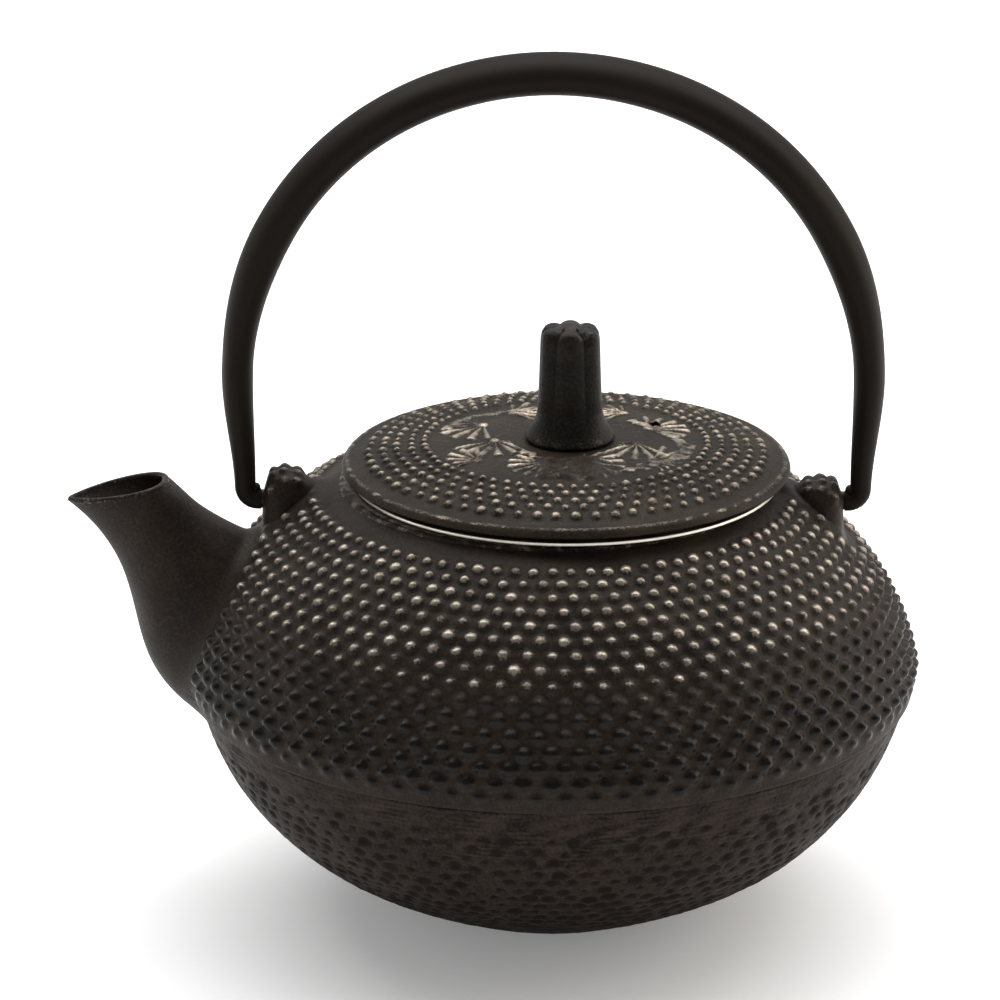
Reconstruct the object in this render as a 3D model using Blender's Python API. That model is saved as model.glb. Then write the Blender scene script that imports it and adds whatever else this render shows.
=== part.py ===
"""Cast-iron teapot: bail handle, lid with a fluted knob, and a lift-out infuser.

Origin: centre of the flat foot, on the pot's axis. +Z is up, the spout points along -X, and the
bail's pivot line runs along X through both ears. All lengths are metres.
"""

from math import cos, pi, radians, sin

import bmesh
import bpy
from mathutils import Vector

# Pot
FOOT_RADIUS = 0.0255
SEAM_HEIGHT = 0.0406
LOWER_BOWL_HANDLES = ((0.0437, 0.0095), (0.0562, 0.0150))
SHOULDER_HANDLES = ((0.0665, 0.0532), (0.0534, 0.0727))
SEAM_RADII = (0.0643, 0.0651)
NECK_RADIUS = 0.0382
NECK_BORE_RADIUS = 0.0353
SHOULDER_TOP = 0.0784
RIM_HEIGHT = 0.0790
POT_WALL = 0.0032
FLOOR_THICKNESS = 0.0042
FLOOR_ROUNDING = 0.0008
ROUND_SEGMENTS = 60

# Spout: the lines its underside and its top follow, as (x, z), mouth to root
SPOUT_UNDERSIDE = ((-0.0868, 0.0748), (-0.0685, 0.0595), (-0.0824, 0.0449), (-0.0620, 0.0324))
SPOUT_TOP_LINE = ((-0.0697, 0.0794), (-0.0634, 0.0733), (-0.0633, 0.0726), (-0.0500, 0.0668))
SPOUT_MOUTH_HALF_WIDTH = 0.0062
SPOUT_ROOT_HALF_WIDTH = 0.0130
SPOUT_WALL = 0.0023
SPOUT_SECTIONS = 10
SPOUT_SIDES = 24
SPOUT_WIDENING = 1.3  # how late along the spout it widens
SPOUT_BORE_TAPER = 0.80  # the bore's size at the root, next to the outside's
SPOUT_ROOT_STEP = Vector((0.007, 0.0, -0.003))
BORE_STEP_IN = Vector((0.010, 0.0, -0.002))

# Ears and the bail's pivot
PIVOT_HEIGHT = 0.0748
EAR_FACE = 0.0520
EAR_HALF_WIDTH = 0.0064
EAR_EDGE = 0.0020
EAR_OUTLINE = (
    (EAR_FACE, 0.0640),
    (EAR_FACE, 0.0762),
    (0.0503, 0.0800),
    (0.0480, 0.0810),
    (0.0430, 0.0790),
    (0.0400, 0.0760),
    (0.0400, 0.0640),
)
PIN_HOLE_RADIUS = 0.0021
PIN_HOLE_END = 0.0452
PIN_HOLE_SIDES = 16
PIN_RADIUS = 0.0017
PIN_TIP = 0.0456
PIN_SHOULDER = 0.0522
SPIGOT_RADIUS = 0.0009
SPIGOT_END = 0.0535
PIN_SIDES = 12

# Bail: a half circle over two legs that turn in to the ears
BAIL_RADIUS = 0.0560
BAIL_CENTRE_HEIGHT = 0.0970
BAIL_END = 0.0525
BAIL_STRAIGHT_END = 0.0529
BAIL_BEND_RADIUS = 0.0022
BAIL_LEG_FOOT = BAIL_STRAIGHT_END + BAIL_BEND_RADIUS
BAIL_SIDES = 12
BAIL_WALL = 0.0007
BAIL_FULL_SHARE = 0.62  # share of the height over the pivot at which its full section is reached
BAIL_THICKNESS = (0.00185, 0.0026, 0.0033)  # radial half axis: at the ends, half way up, in full
BAIL_WIDTH = (0.0020, 0.0050, 0.0060)  # half axis along Y at the same three places
BEND_STEPS = 3
LEG_STEPS = 5
ARCH_STEPS = 9

# Infuser and lid stand a little off the pot's axis, within the play of the neck
SEAT_X = 0.00236
KNOB_X = 0.0030
GAP = 0.0003
FLANGE_BOTTOM = RIM_HEIGHT + GAP
FLANGE_TOP = FLANGE_BOTTOM + 0.0006
FLANGE_RADIUS = 0.0383
SHEET = 0.0006
COLLAR_RADIUS = 0.0326
COLLAR_BOTTOM = 0.0700
MESH_RADIUS = COLLAR_RADIUS - SHEET - GAP
MESH_SHEET = 0.0004
MESH_TOP = 0.0732
INFUSER_BOTTOM = 0.0404
BASE_RING_TOP = 0.0448
BASE_RING_LIP = 0.0290

LID_SEAT = FLANGE_TOP + GAP
LID_RADIUS = 0.0401
LID_RIM_TOP_RADIUS = 0.0394
LID_DECK_RADIUS = 0.0366
LID_RIM_TOP = 0.0827
LID_RIM_CORNER = 0.0815
LID_CHAMFER = ((0.0395, 0.0811), (0.0372, LID_SEAT))
LID_CROWN = 0.0863
LID_BOSS_RADIUS = 0.0086
LID_DECK = ((LID_BOSS_RADIUS, LID_CROWN), (0.0200, 0.0862), (0.0310, 0.0843), (LID_DECK_RADIUS, 0.0831))
LID_UNDERSIDE = 0.0833
LID_CEILING = ((0.0275, 0.0806), (0.0210, 0.0820), (0.0140, 0.0833), (0.0080, LID_UNDERSIDE))
SKIRT_FILLET_START = 0.0797
SKIRT_RADIUS = 0.0316
SKIRT_THICKNESS = 0.0024
SKIRT_BOTTOM = 0.0740
VENT_PLACE = (0.0159, 0.0091)
VENT_RADIUS = 0.0013
SMALL_HOLE_SIDES = 16
FIXING_SIDES = 24

KNOB_BOTTOM = LID_CROWN + GAP
KNOB_LOBES = 6
KNOB_SIDES = 48
# (height above the knob's bottom, mean radius, lobe depth)
KNOB_PROFILE = (
    (0.0000, 0.0073, 0.0000),
    (0.0009, 0.0077, 0.0001),
    (0.0020, 0.0070, 0.0002),
    (0.0036, 0.0060, 0.0003),
    (0.0068, 0.0056, 0.0004),
    (0.0110, 0.0053, 0.0004),
    (0.0160, 0.0051, 0.0004),
    (0.0182, 0.0050, 0.0004),
    (0.0197, 0.0046, 0.0004),
    (0.0205, 0.0037, 0.0003),
    (0.0208, 0.0024, 0.0001),
    (0.0212, 0.0009, 0.0000),
)
SCREW_HOLE_RADIUS = 0.0028
SCREW_HOLE_TOP = 0.0990
SHANK_RADIUS = 0.0024
SHANK_TOP = 0.0980
WASHER_RADIUS = 0.0060
WASHER_THICKNESS = 0.0010
WASHER_TOP = LID_UNDERSIDE - GAP
HEAD_TOP = WASHER_TOP - WASHER_THICKNESS - GAP
HEAD_RADIUS = 0.0044
HEAD_HEIGHT = 0.0024
HEAD_EDGE = ((0.75, 0.0003), (1.0, 0.0011))  # (share of the head's radius, height over its face)
SLOT_WIDTH = 0.0011
SLOT_DEPTH = 0.0010

BOWL_STEPS = 9
SHOULDER_STEPS = 9
INNER_SHOULDER_STEPS = 7
SHARP_ANGLE = radians(35)
WELD = 1e-6
CUT_PAST = 0.004


def clear_scene():
    for obj in list(bpy.data.objects):
        bpy.data.objects.remove(obj, do_unlink=True)


def bezier(points, steps):
    """Points along the cubic Bezier curve of four control points, both ends included."""
    a, b, c, d = (Vector(point) for point in points)
    curve = []
    for i in range(steps + 1):
        t = i / steps
        s = 1 - t
        curve.append(a * s**3 + b * 3 * s * s * t + c * 3 * s * t * t + d * t**3)
    return curve


def offset_inward(outline, distance):
    """An open (r, z) outline that runs upward, moved to its left, which is inward, by distance."""
    moved = []
    for i, point in enumerate(outline):
        along = outline[min(i + 1, len(outline) - 1)] - outline[max(i - 1, 0)]
        along.normalize()
        moved.append(point + Vector((-along.y, along.x)) * distance)
    return moved


def blend(values, t):
    """Three values at t = 0, 0.5 and 1, joined by two smooth steps."""
    half = min(int(t * 2), 1)
    u = t * 2 - half
    u = u * u * (3 - 2 * u)
    return values[half] * (1 - u) + values[half + 1] * u


def finish(name, bm):
    bmesh.ops.recalc_face_normals(bm, faces=bm.faces)
    mesh = bpy.data.meshes.new(name)
    bm.to_mesh(mesh)
    bm.free()
    mesh.shade_smooth()
    mesh.set_sharp_from_angle(angle=SHARP_ANGLE)
    obj = bpy.data.objects.new(name, mesh)
    bpy.context.scene.collection.objects.link(obj)
    return obj


def turned(name, outline, segments=ROUND_SEGMENTS):
    """A solid of revolution about Z from an (r, z) outline; ends off the axis are joined up."""
    bm = bmesh.new()
    verts = [bm.verts.new((r, 0, z)) for r, z in outline]
    edges = [bm.edges.new(pair) for pair in zip(verts, verts[1:])]
    if outline[0][0] > WELD or outline[-1][0] > WELD:
        edges.append(bm.edges.new((verts[-1], verts[0])))
    bmesh.ops.spin(
        bm,
        geom=verts + edges,
        axis=(0, 0, 1),
        cent=(0, 0, 0),
        angle=2 * pi,
        steps=segments,
        use_duplicate=False,
    )
    bmesh.ops.remove_doubles(bm, verts=bm.verts, dist=WELD)
    return finish(name, bm)


def skinned(name, rings, closed=False):
    """A skin over rings of points: closed joins the last ring to the first, else both are capped."""
    bm = bmesh.new()
    loops = [[bm.verts.new(point) for point in ring] for ring in rings]
    pairs = list(zip(loops, loops[1:]))
    if closed:
        pairs.append((loops[-1], loops[0]))
    else:
        bm.faces.new(loops[0])
        bm.faces.new(loops[-1])
    for one, other in pairs:
        for i in range(len(one)):
            j = (i + 1) % len(one)
            bm.faces.new((one[i], one[j], other[j], other[i]))
    return finish(name, bm)


def block(name, size, centre):
    bm = bmesh.new()
    bmesh.ops.create_cube(bm, size=1.0)
    bmesh.ops.scale(bm, vec=size, verts=bm.verts)
    bmesh.ops.translate(bm, vec=centre, verts=bm.verts)
    return finish(name, bm)


def combine(target, other, operation):
    """Joins other to target or cuts it out, with other kept as a hidden helper."""
    modifier = target.modifiers.new(other.name, "BOOLEAN")
    modifier.operation = operation
    modifier.object = other
    other.hide_render = True
    other.display_type = "WIRE"


def give_material(objects, name, colour, roughness, metallic):
    material = bpy.data.materials.new(name)
    material.use_nodes = True
    shader = material.node_tree.nodes["Principled BSDF"]
    shader.inputs["Base Color"].default_value = (*colour, 1)
    shader.inputs["Roughness"].default_value = roughness
    shader.inputs["Metallic"].default_value = metallic
    for obj in objects:
        obj.data.materials.append(material)


def pivot(name, place):
    empty = bpy.data.objects.new(name, None)
    empty.location = place
    empty.empty_display_size = 0.01
    bpy.context.scene.collection.objects.link(empty)
    return empty


def attach(obj, parent, location=(0, 0, 0)):
    """Parents obj to an empty; location is in the object's own world place, not under the parent."""
    obj.parent = parent
    obj.location = Vector(location) - parent.location


def lower_bowl(steps):
    ends = ((FOOT_RADIUS, 0.0), (SEAM_RADII[0], SEAM_HEIGHT - 0.0004))
    return bezier((ends[0], *LOWER_BOWL_HANDLES, ends[1]), steps)


def shoulder(steps):
    ends = ((SEAM_RADII[1], SEAM_HEIGHT + 0.0004), (NECK_RADIUS, SHOULDER_TOP))
    return bezier((ends[0], *SHOULDER_HANDLES, ends[1]), steps)


def spout_rings(inset, root_scale):
    """Oval sections across the spout, mouth to root, shrunk by inset; the bore's root is scaled."""
    low = bezier([(x, 0, z) for x, z in SPOUT_UNDERSIDE], SPOUT_SECTIONS)
    high = bezier([(x, 0, z) for x, z in SPOUT_TOP_LINE], SPOUT_SECTIONS)
    low.append(low[-1] + SPOUT_ROOT_STEP)
    high.append(high[-1] + SPOUT_ROOT_STEP)
    rings = []
    for i, (below, above) in enumerate(zip(low, high)):
        t = min(i / SPOUT_SECTIONS, 1)
        scale = 1 + (root_scale - 1) * t
        centre = (below + above) / 2
        half = (above - below) / 2
        reach = (half.length - inset) * scale
        grown = (SPOUT_ROOT_HALF_WIDTH - SPOUT_MOUTH_HALF_WIDTH) * t**SPOUT_WIDENING
        width = (SPOUT_MOUTH_HALF_WIDTH + grown - inset) * scale
        across = half.normalized() * reach
        ring = []
        for k in range(SPOUT_SIDES):
            angle = 2 * pi * k / SPOUT_SIDES
            ring.append(centre + across * cos(angle) + Vector((0, width * sin(angle), 0)))
        rings.append(ring)
    return rings


def spout_solid():
    return skinned("spout_outside", spout_rings(0.0, 1.0))


def spout_bore():
    """The spout's hollow, run out past the mouth and on into the pot's cavity."""
    rings = spout_rings(SPOUT_WALL, SPOUT_BORE_TAPER)
    out = Vector()
    for k in (0, SPOUT_SIDES // 2):
        out += (rings[0][k] - rings[1][k]).normalized()
    out.normalize()
    rings.insert(0, [point + out * CUT_PAST for point in rings[0]])
    rings.append([point + BORE_STEP_IN for point in rings[-1]])
    return skinned("spout_bore", rings)


def ear(side):
    """A lug on the shoulder: its outline in XZ, extruded along Y, with rounded edges."""
    bm = bmesh.new()
    verts = [bm.verts.new((side * x, -EAR_HALF_WIDTH, z)) for x, z in EAR_OUTLINE]
    face = bm.faces.new(verts)
    grown = bmesh.ops.extrude_face_region(bm, geom=[face])
    moved = [item for item in grown["geom"] if isinstance(item, bmesh.types.BMVert)]
    bmesh.ops.translate(bm, vec=(0, 2 * EAR_HALF_WIDTH, 0), verts=moved)
    obj = finish(f"ear_{'left' if side < 0 else 'right'}", bm)
    bevel = obj.modifiers.new("rounded_edges", "BEVEL")
    bevel.width = EAR_EDGE
    bevel.segments = 3
    return obj


def x_rod(name, outline, side, segments):
    """A turned rod whose length, the outline's z, points along X away from the pot's middle."""
    obj = turned(name, outline, segments)
    obj.rotation_euler = (0, side * pi / 2, 0)
    obj.location = (0, 0, PIVOT_HEIGHT)
    return obj


def make_pot():
    """The casting: foot, bowl, shoulder and neck, with the spout and both ears, hollowed out."""
    bowl = lower_bowl(BOWL_STEPS)
    outside = [(0, 0), *bowl, *shoulder(SHOULDER_STEPS), (NECK_RADIUS, RIM_HEIGHT), (0, RIM_HEIGHT)]
    pot = turned("pot_body", outside)
    combine(pot, spout_solid(), "UNION")
    for side in (-1, 1):
        combine(pot, ear(side), "UNION")

    inner_bowl = [p for p in offset_inward(bowl, POT_WALL) if p.y > FLOOR_THICKNESS + FLOOR_ROUNDING]
    inner_shoulder = offset_inward(shoulder(INNER_SHOULDER_STEPS), POT_WALL)
    inner_shoulder = [p for p in inner_shoulder if p.x > NECK_BORE_RADIUS + FLOOR_ROUNDING]
    cavity_outline = [
        (0, FLOOR_THICKNESS),
        (inner_bowl[0].x - 4 * FLOOR_ROUNDING, FLOOR_THICKNESS),
        *inner_bowl,
        *inner_shoulder,
        (NECK_BORE_RADIUS, inner_shoulder[-1].y + FLOOR_ROUNDING),
        (NECK_BORE_RADIUS, RIM_HEIGHT + CUT_PAST),
        (0, RIM_HEIGHT + CUT_PAST),
    ]
    combine(pot, turned("cavity", cavity_outline), "DIFFERENCE")
    combine(pot, spout_bore(), "DIFFERENCE")
    mouth = EAR_FACE + CUT_PAST
    hole = ((0, PIN_HOLE_END), (PIN_HOLE_RADIUS, PIN_HOLE_END), (PIN_HOLE_RADIUS, mouth), (0, mouth))
    for side in (-1, 1):
        combine(pot, x_rod(f"pin_hole_{side}", hole, side, PIN_HOLE_SIDES), "DIFFERENCE")
    return pot


def bail_half():
    """The right half of the bail's middle line, ear to top, as (x, z, angle of its outward normal)."""
    path = [(BAIL_END, PIVOT_HEIGHT, -pi / 2), (BAIL_STRAIGHT_END, PIVOT_HEIGHT, -pi / 2)]
    for i in range(1, BEND_STEPS + 1):
        turn = -pi / 2 + i * pi / (2 * BEND_STEPS)
        x = BAIL_STRAIGHT_END + BAIL_BEND_RADIUS * cos(turn)
        z = PIVOT_HEIGHT + BAIL_BEND_RADIUS * (1 + sin(turn))
        path.append((x, z, turn))
    foot = PIVOT_HEIGHT + BAIL_BEND_RADIUS
    for i in range(1, LEG_STEPS):
        t = i / LEG_STEPS
        lean = t * t * (3 - 2 * t)
        x = BAIL_LEG_FOOT + (BAIL_RADIUS - BAIL_LEG_FOOT) * lean
        path.append((x, foot + (BAIL_CENTRE_HEIGHT - foot) * t, 0.0))
    for i in range(ARCH_STEPS + 1):
        turn = i * pi / (2 * ARCH_STEPS)
        path.append((BAIL_RADIUS * cos(turn), BAIL_CENTRE_HEIGHT + BAIL_RADIUS * sin(turn), turn))
    return path


def bail_rings(path, inset):
    """Oval rings along the bail; each grows from the ear to the top of the arch."""
    full_at = (BAIL_CENTRE_HEIGHT + BAIL_RADIUS - PIVOT_HEIGHT) * BAIL_FULL_SHARE
    rings = []
    for x, z, turn in path:
        share = min(1, (z - PIVOT_HEIGHT) / full_at)
        thick = blend(BAIL_THICKNESS, share) - inset
        wide = blend(BAIL_WIDTH, share) - inset
        normal = Vector((cos(turn), 0, sin(turn)))
        ring = []
        for k in range(BAIL_SIDES):
            angle = 2 * pi * k / BAIL_SIDES
            ring.append(Vector((x, wide * sin(angle), z)) + normal * thick * cos(angle))
        rings.append(ring)
    return rings


def make_bail(hinge):
    """A formed tube, open at both ends, and a shouldered pin plugged into each end."""
    half = bail_half()
    other = [(-x, z, pi - turn) for x, z, turn in reversed(half[:-1])]
    path = half + other
    lift = Vector((0, 0, PIVOT_HEIGHT))
    outer = [[point - lift for point in ring] for ring in bail_rings(path, 0)]
    inner = [[point - lift for point in ring] for ring in bail_rings(path, BAIL_WALL)]
    handle = skinned("bail_handle", outer + inner[::-1], closed=True)
    attach(handle, hinge, (0, 0, PIVOT_HEIGHT))
    outline = (
        (0, PIN_TIP),
        (PIN_RADIUS, PIN_TIP),
        (PIN_RADIUS, PIN_SHOULDER),
        (SPIGOT_RADIUS, PIN_SHOULDER),
        (SPIGOT_RADIUS, SPIGOT_END),
        (0, SPIGOT_END),
    )
    pins = []
    for side, word in ((-1, "left"), (1, "right")):
        pin = x_rod(f"bail_pin_{word}", outline, side, PIN_SIDES)
        attach(pin, hinge, (0, 0, PIVOT_HEIGHT))
        pins.append(pin)
    return handle, pins


def make_infuser(seat):
    """A flanged collar, the basket's wall and bottom of fine mesh, and the ring that joins them."""
    inner = COLLAR_RADIUS - SHEET
    rim = turned(
        "infuser_rim",
        (
            (inner, COLLAR_BOTTOM),
            (COLLAR_RADIUS, COLLAR_BOTTOM),
            (COLLAR_RADIUS, FLANGE_BOTTOM),
            (FLANGE_RADIUS, FLANGE_BOTTOM),
            (FLANGE_RADIUS, FLANGE_TOP),
            (inner, FLANGE_TOP),
        ),
    )
    lip_top = INFUSER_BOTTOM + SHEET
    wall = turned(
        "infuser_mesh_wall",
        (
            (MESH_RADIUS - MESH_SHEET, lip_top + GAP),
            (MESH_RADIUS, lip_top + GAP),
            (MESH_RADIUS, MESH_TOP),
            (MESH_RADIUS - MESH_SHEET, MESH_TOP),
        ),
    )
    ring_inner = MESH_RADIUS + GAP
    ring = turned(
        "infuser_base_ring",
        (
            (BASE_RING_LIP, INFUSER_BOTTOM),
            (ring_inner + SHEET, INFUSER_BOTTOM),
            (ring_inner + SHEET, BASE_RING_TOP),
            (ring_inner, BASE_RING_TOP),
            (ring_inner, lip_top),
            (BASE_RING_LIP, lip_top),
        ),
    )
    disc_radius = MESH_RADIUS - MESH_SHEET - GAP
    bottom = turned(
        "infuser_mesh_bottom",
        (
            (0, lip_top + GAP),
            (disc_radius, lip_top + GAP),
            (disc_radius, lip_top + GAP + MESH_SHEET),
            (0, lip_top + GAP + MESH_SHEET),
        ),
    )
    pieces = [rim, wall, ring, bottom]
    for piece in pieces:
        attach(piece, seat, (SEAT_X, 0, 0))
    return pieces


def make_lid(seat):
    """The lid casting: domed deck, rim, seat, and a skirt that drops inside the infuser's collar."""
    skirt_inner = SKIRT_RADIUS - SKIRT_THICKNESS
    outline = [
        (0, LID_CROWN),
        *bezier(LID_DECK, 6),
        (LID_RIM_TOP_RADIUS, LID_RIM_TOP),
        (LID_RADIUS, LID_RIM_CORNER),
        *LID_CHAMFER,
        (SKIRT_RADIUS, LID_SEAT),
        (SKIRT_RADIUS, SKIRT_BOTTOM),
        (skirt_inner, SKIRT_BOTTOM),
        (skirt_inner, SKIRT_FILLET_START),
        *bezier(LID_CEILING, 4),
        (0, LID_UNDERSIDE),
    ]
    lid = turned("lid", outline)
    attach(lid, seat, (SEAT_X, 0, 0))
    low, high = SKIRT_BOTTOM, LID_CROWN + CUT_PAST
    vent_outline = ((0, low), (VENT_RADIUS, low), (VENT_RADIUS, high), (0, high))
    vent = turned("vent", vent_outline, SMALL_HOLE_SIDES)
    vent.location = (SEAT_X + VENT_PLACE[0], VENT_PLACE[1], 0)
    combine(lid, vent, "DIFFERENCE")
    cut_screw_hole(lid)
    return lid


def cut_screw_hole(piece):
    """Cuts the one hole that runs up through the lid and into the knob."""
    bottom, radius, top = LID_UNDERSIDE - CUT_PAST, SCREW_HOLE_RADIUS, SCREW_HOLE_TOP
    outline = ((0, bottom), (radius, bottom), (radius, top), (0, top))
    hole = turned(f"screw_hole_{piece.name}", outline, SMALL_HOLE_SIDES)
    hole.location = (KNOB_X, 0, 0)
    combine(piece, hole, "DIFFERENCE")


def make_knob(seat):
    """A six-lobed column on a flared foot, with a screw hole up its middle."""
    rings = []
    for height, radius, depth in KNOB_PROFILE:
        ring = []
        for k in range(KNOB_SIDES):
            angle = 2 * pi * k / KNOB_SIDES
            reach = radius - depth * cos(KNOB_LOBES * angle)
            ring.append((reach * cos(angle), reach * sin(angle), KNOB_BOTTOM + height))
        rings.append(ring)
    knob = skinned("lid_knob", rings)
    attach(knob, seat, (KNOB_X, 0, 0))
    cut_screw_hole(knob)
    return knob


def make_fixings(seat):
    """The washer and the slotted screw that hold the knob, from inside the lid."""
    washer_bottom = WASHER_TOP - WASHER_THICKNESS
    washer = turned(
        "knob_washer",
        (
            (SCREW_HOLE_RADIUS, washer_bottom),
            (WASHER_RADIUS, washer_bottom),
            (WASHER_RADIUS, WASHER_TOP),
            (SCREW_HOLE_RADIUS, WASHER_TOP),
        ),
        FIXING_SIDES,
    )
    head_bottom = HEAD_TOP - HEAD_HEIGHT
    screw = turned(
        "knob_screw",
        (
            (0, head_bottom),
            *((HEAD_RADIUS * share, head_bottom + height) for share, height in HEAD_EDGE),
            (HEAD_RADIUS, HEAD_TOP),
            (SHANK_RADIUS, HEAD_TOP),
            (SHANK_RADIUS, SHANK_TOP),
            (0, SHANK_TOP),
        ),
        FIXING_SIDES,
    )
    for piece in (washer, screw):
        attach(piece, seat, (KNOB_X, 0, 0))
    slot_size = (3 * HEAD_RADIUS, SLOT_WIDTH, 2 * SLOT_DEPTH)
    slot = block("screw_slot", slot_size, (KNOB_X, 0, head_bottom))
    combine(screw, slot, "DIFFERENCE")
    return washer, screw


def main():
    clear_scene()
    pot = make_pot()
    bail, pins = make_bail(pivot("bail_pivot", (0, 0, PIVOT_HEIGHT)))
    infuser_seat = pivot("infuser_seat", (SEAT_X, 0, RIM_HEIGHT))
    infuser = make_infuser(infuser_seat)
    lid_seat = pivot("lid_seat", (SEAT_X, 0, LID_SEAT))
    lid = make_lid(lid_seat)
    knob = make_knob(lid_seat)
    fixings = make_fixings(lid_seat)
    give_material([pot, lid, knob], "black_cast_iron", (0.035, 0.028, 0.022), 0.55, 0.35)
    give_material([bail, *pins], "black_lacquered_steel", (0.012, 0.011, 0.010), 0.38, 0.2)
    give_material([*infuser, *fixings], "stainless_steel", (0.62, 0.61, 0.58), 0.28, 1.0)


main()
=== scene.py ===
"""The look of a small cast-iron teapot: studded pot, bail handle, studded lid with its knob, infuser.

Shapes are worked out in millimetres, in the part's own frame: the foot's centre is the origin, +Z is
up, the spout points along -X. build_piece turns them to metres.
"""

import math

import bpy
import numpy as np
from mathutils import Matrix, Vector


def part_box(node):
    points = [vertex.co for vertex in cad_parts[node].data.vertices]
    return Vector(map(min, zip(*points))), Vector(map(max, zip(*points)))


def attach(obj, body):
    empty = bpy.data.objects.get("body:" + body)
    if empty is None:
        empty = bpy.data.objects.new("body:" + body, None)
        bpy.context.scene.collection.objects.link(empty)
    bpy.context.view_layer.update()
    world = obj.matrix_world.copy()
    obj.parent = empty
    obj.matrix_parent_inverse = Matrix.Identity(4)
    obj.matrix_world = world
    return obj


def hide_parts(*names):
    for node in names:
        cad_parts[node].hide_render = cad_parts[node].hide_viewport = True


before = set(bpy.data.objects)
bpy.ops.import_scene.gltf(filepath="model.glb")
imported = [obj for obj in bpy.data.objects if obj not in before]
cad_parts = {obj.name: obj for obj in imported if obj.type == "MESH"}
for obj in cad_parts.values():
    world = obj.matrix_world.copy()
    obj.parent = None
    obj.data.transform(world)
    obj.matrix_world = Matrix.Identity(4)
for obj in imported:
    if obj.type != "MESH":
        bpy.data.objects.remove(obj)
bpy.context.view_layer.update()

MM = 0.001
TURN = 2 * math.pi


def node_box(name):
    """The lowest and highest corner of a part of the frame, in millimetres."""
    low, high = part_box(name)
    return np.array(low) / MM, np.array(high) / MM


LID_LOW, LID_HIGH = node_box("lid")
FLANGE_LOW, FLANGE_HIGH = node_box("infuser_rim")
BASKET_LOW, BASKET_HIGH = node_box("infuser_mesh_wall")
RING_LOW, RING_HIGH = node_box("infuser_base_ring")
SIEVE_LOW, SIEVE_HIGH = node_box("infuser_mesh_bottom")
KNOB_LOW, KNOB_HIGH = node_box("lid_knob")
PIN_LOW, PIN_HIGH = node_box("bail_pin_right")

SEAT_X = (LID_LOW[0] + LID_HIGH[0]) / 2
KNOB_X = (KNOB_LOW[0] + KNOB_HIGH[0]) / 2
LID_RADIUS = (LID_HIGH[0] - LID_LOW[0]) / 2
FLANGE_RADIUS = (FLANGE_HIGH[0] - FLANGE_LOW[0]) / 2
BASKET_RADIUS = (BASKET_HIGH[0] - BASKET_LOW[0]) / 2
RING_RADIUS = (RING_HIGH[0] - RING_LOW[0]) / 2
SIEVE_RADIUS = (SIEVE_HIGH[0] - SIEVE_LOW[0]) / 2
PIVOT_HEIGHT = (PIN_LOW[2] + PIN_HIGH[2]) / 2
PIN_RADIUS = (PIN_HIGH[2] - PIN_LOW[2]) / 2

# Pot
FOOT_RADIUS = 22.6
SEAM_HEIGHT = 40.6
SEAM_RADIUS = 65.1
BOWL_RADIUS = 64.3
NECK_RADIUS = 38.2
NECK_BORE_RADIUS = 35.3
RIM_HEIGHT = 79.0
POT_WALL = 3.2
FLOOR_HEIGHT = 4.2
BOWL_CURVE = ((FOOT_RADIUS, 0.0), (42.3, 9.0), (57.0, 15.2), (BOWL_RADIUS, 40.2))
SHOULDER_CURVE = ((SEAM_RADIUS, 41.0), (66.5, 53.2), (53.4, 72.7), (NECK_RADIUS, 78.4))
STUDS_AROUND = 84
STUD_ROW_PITCH = 2.76
FIRST_STUD_ROW = 5.35  # below the neck's edge, along the shoulder
LAST_STUD_ROW = 44.5
STUD_JITTER = 0.22
PITS_AROUND = 100
PIT_ROW_PITCH = 2.7
FIRST_PIT_ROW = 6.0
PIT_JITTER = 0.95

# Spout: the (x, z) lines of its underside and of its top, mouth to root
SPOUT_UNDERSIDE = ((-87.0, 74.4), (-68.5, 59.5), (-82.1, 45.0), (-61.7, 32.9))
SPOUT_TOP = ((-68.8, 78.2), (-63.4, 73.3), (-63.5, 72.0), (-50.0, 66.3))
SPOUT_MOUTH_HALF_WIDTH = 7.2
SPOUT_ROOT_HALF_WIDTH = 13.0
SPOUT_WALL = 2.3
SPOUT_LIP_WALL = 1.25
SPOUT_FILLET = 3.0
MOUTH_POINT = 0.35  # how sharply the mouth is pinched on its low side
MOUTH_NORMAL = np.array((-0.26, 0.0, 0.966))

# Ears
EAR_HALF_WIDTH = 6.4
EAR_FILLET = 1.3
RIGHT_EAR_DROP = 0.3  # the right ear came out of its mould lower over the pin than the left
PIN_HOLE_RADIUS = 2.1
PIN_HOLE_END = 45.2

# Bail
BAIL_RADIUS = 56.15
BAIL_SWELL = 0.006  # share by which the arch is wider half way up each side
BAIL_CENTRE_HEIGHT = 97.0
BAIL_END = 52.25
BAIL_BEND_RADIUS = 2.2
BAIL_STRAIGHT_END = 52.9
BAIL_WALL = 0.7
BAIL_FULL_SHARE = 0.62  # share of its height at which the tube has its full section
# Half thickness and half width at the ends, half way to the full section, and there
BAIL_THICKNESS = (1.85, 2.8, 3.65)
BAIL_WIDTH = (2.0, 5.0, 6.0)

# Infuser and lid
SHEET = 0.6
COLLAR_RADIUS = RING_RADIUS
FLANGE_UNDERSIDE = 79.3
FLANGE_TOP = 79.9
HOLE_PITCH = 1.45
HOLE_SHARE = 0.6
STUD_RINGS = (35.1, 32.6, 30.2, 27.7, 25.2)
LID_STUDS = 66
LID_SEAT_HEIGHT = 80.2
VENT_X, VENT_Y = 15.9, 9.1  # from the lid's middle
VENT_RADIUS = 1.3
SCREW_HOLE_RADIUS = 2.8

# Branches on the lid: middle and span in radians, then radius and swing
BRANCHES = (
    (2.2, 1.5, 20.0, 2.6),
    (-1.9, 1.4, 13.5, 3.2),
    (0.2, 1.2, 18.5, -3.0),
    (-0.6, 1.1, 21.0, 1.6),
)


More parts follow.
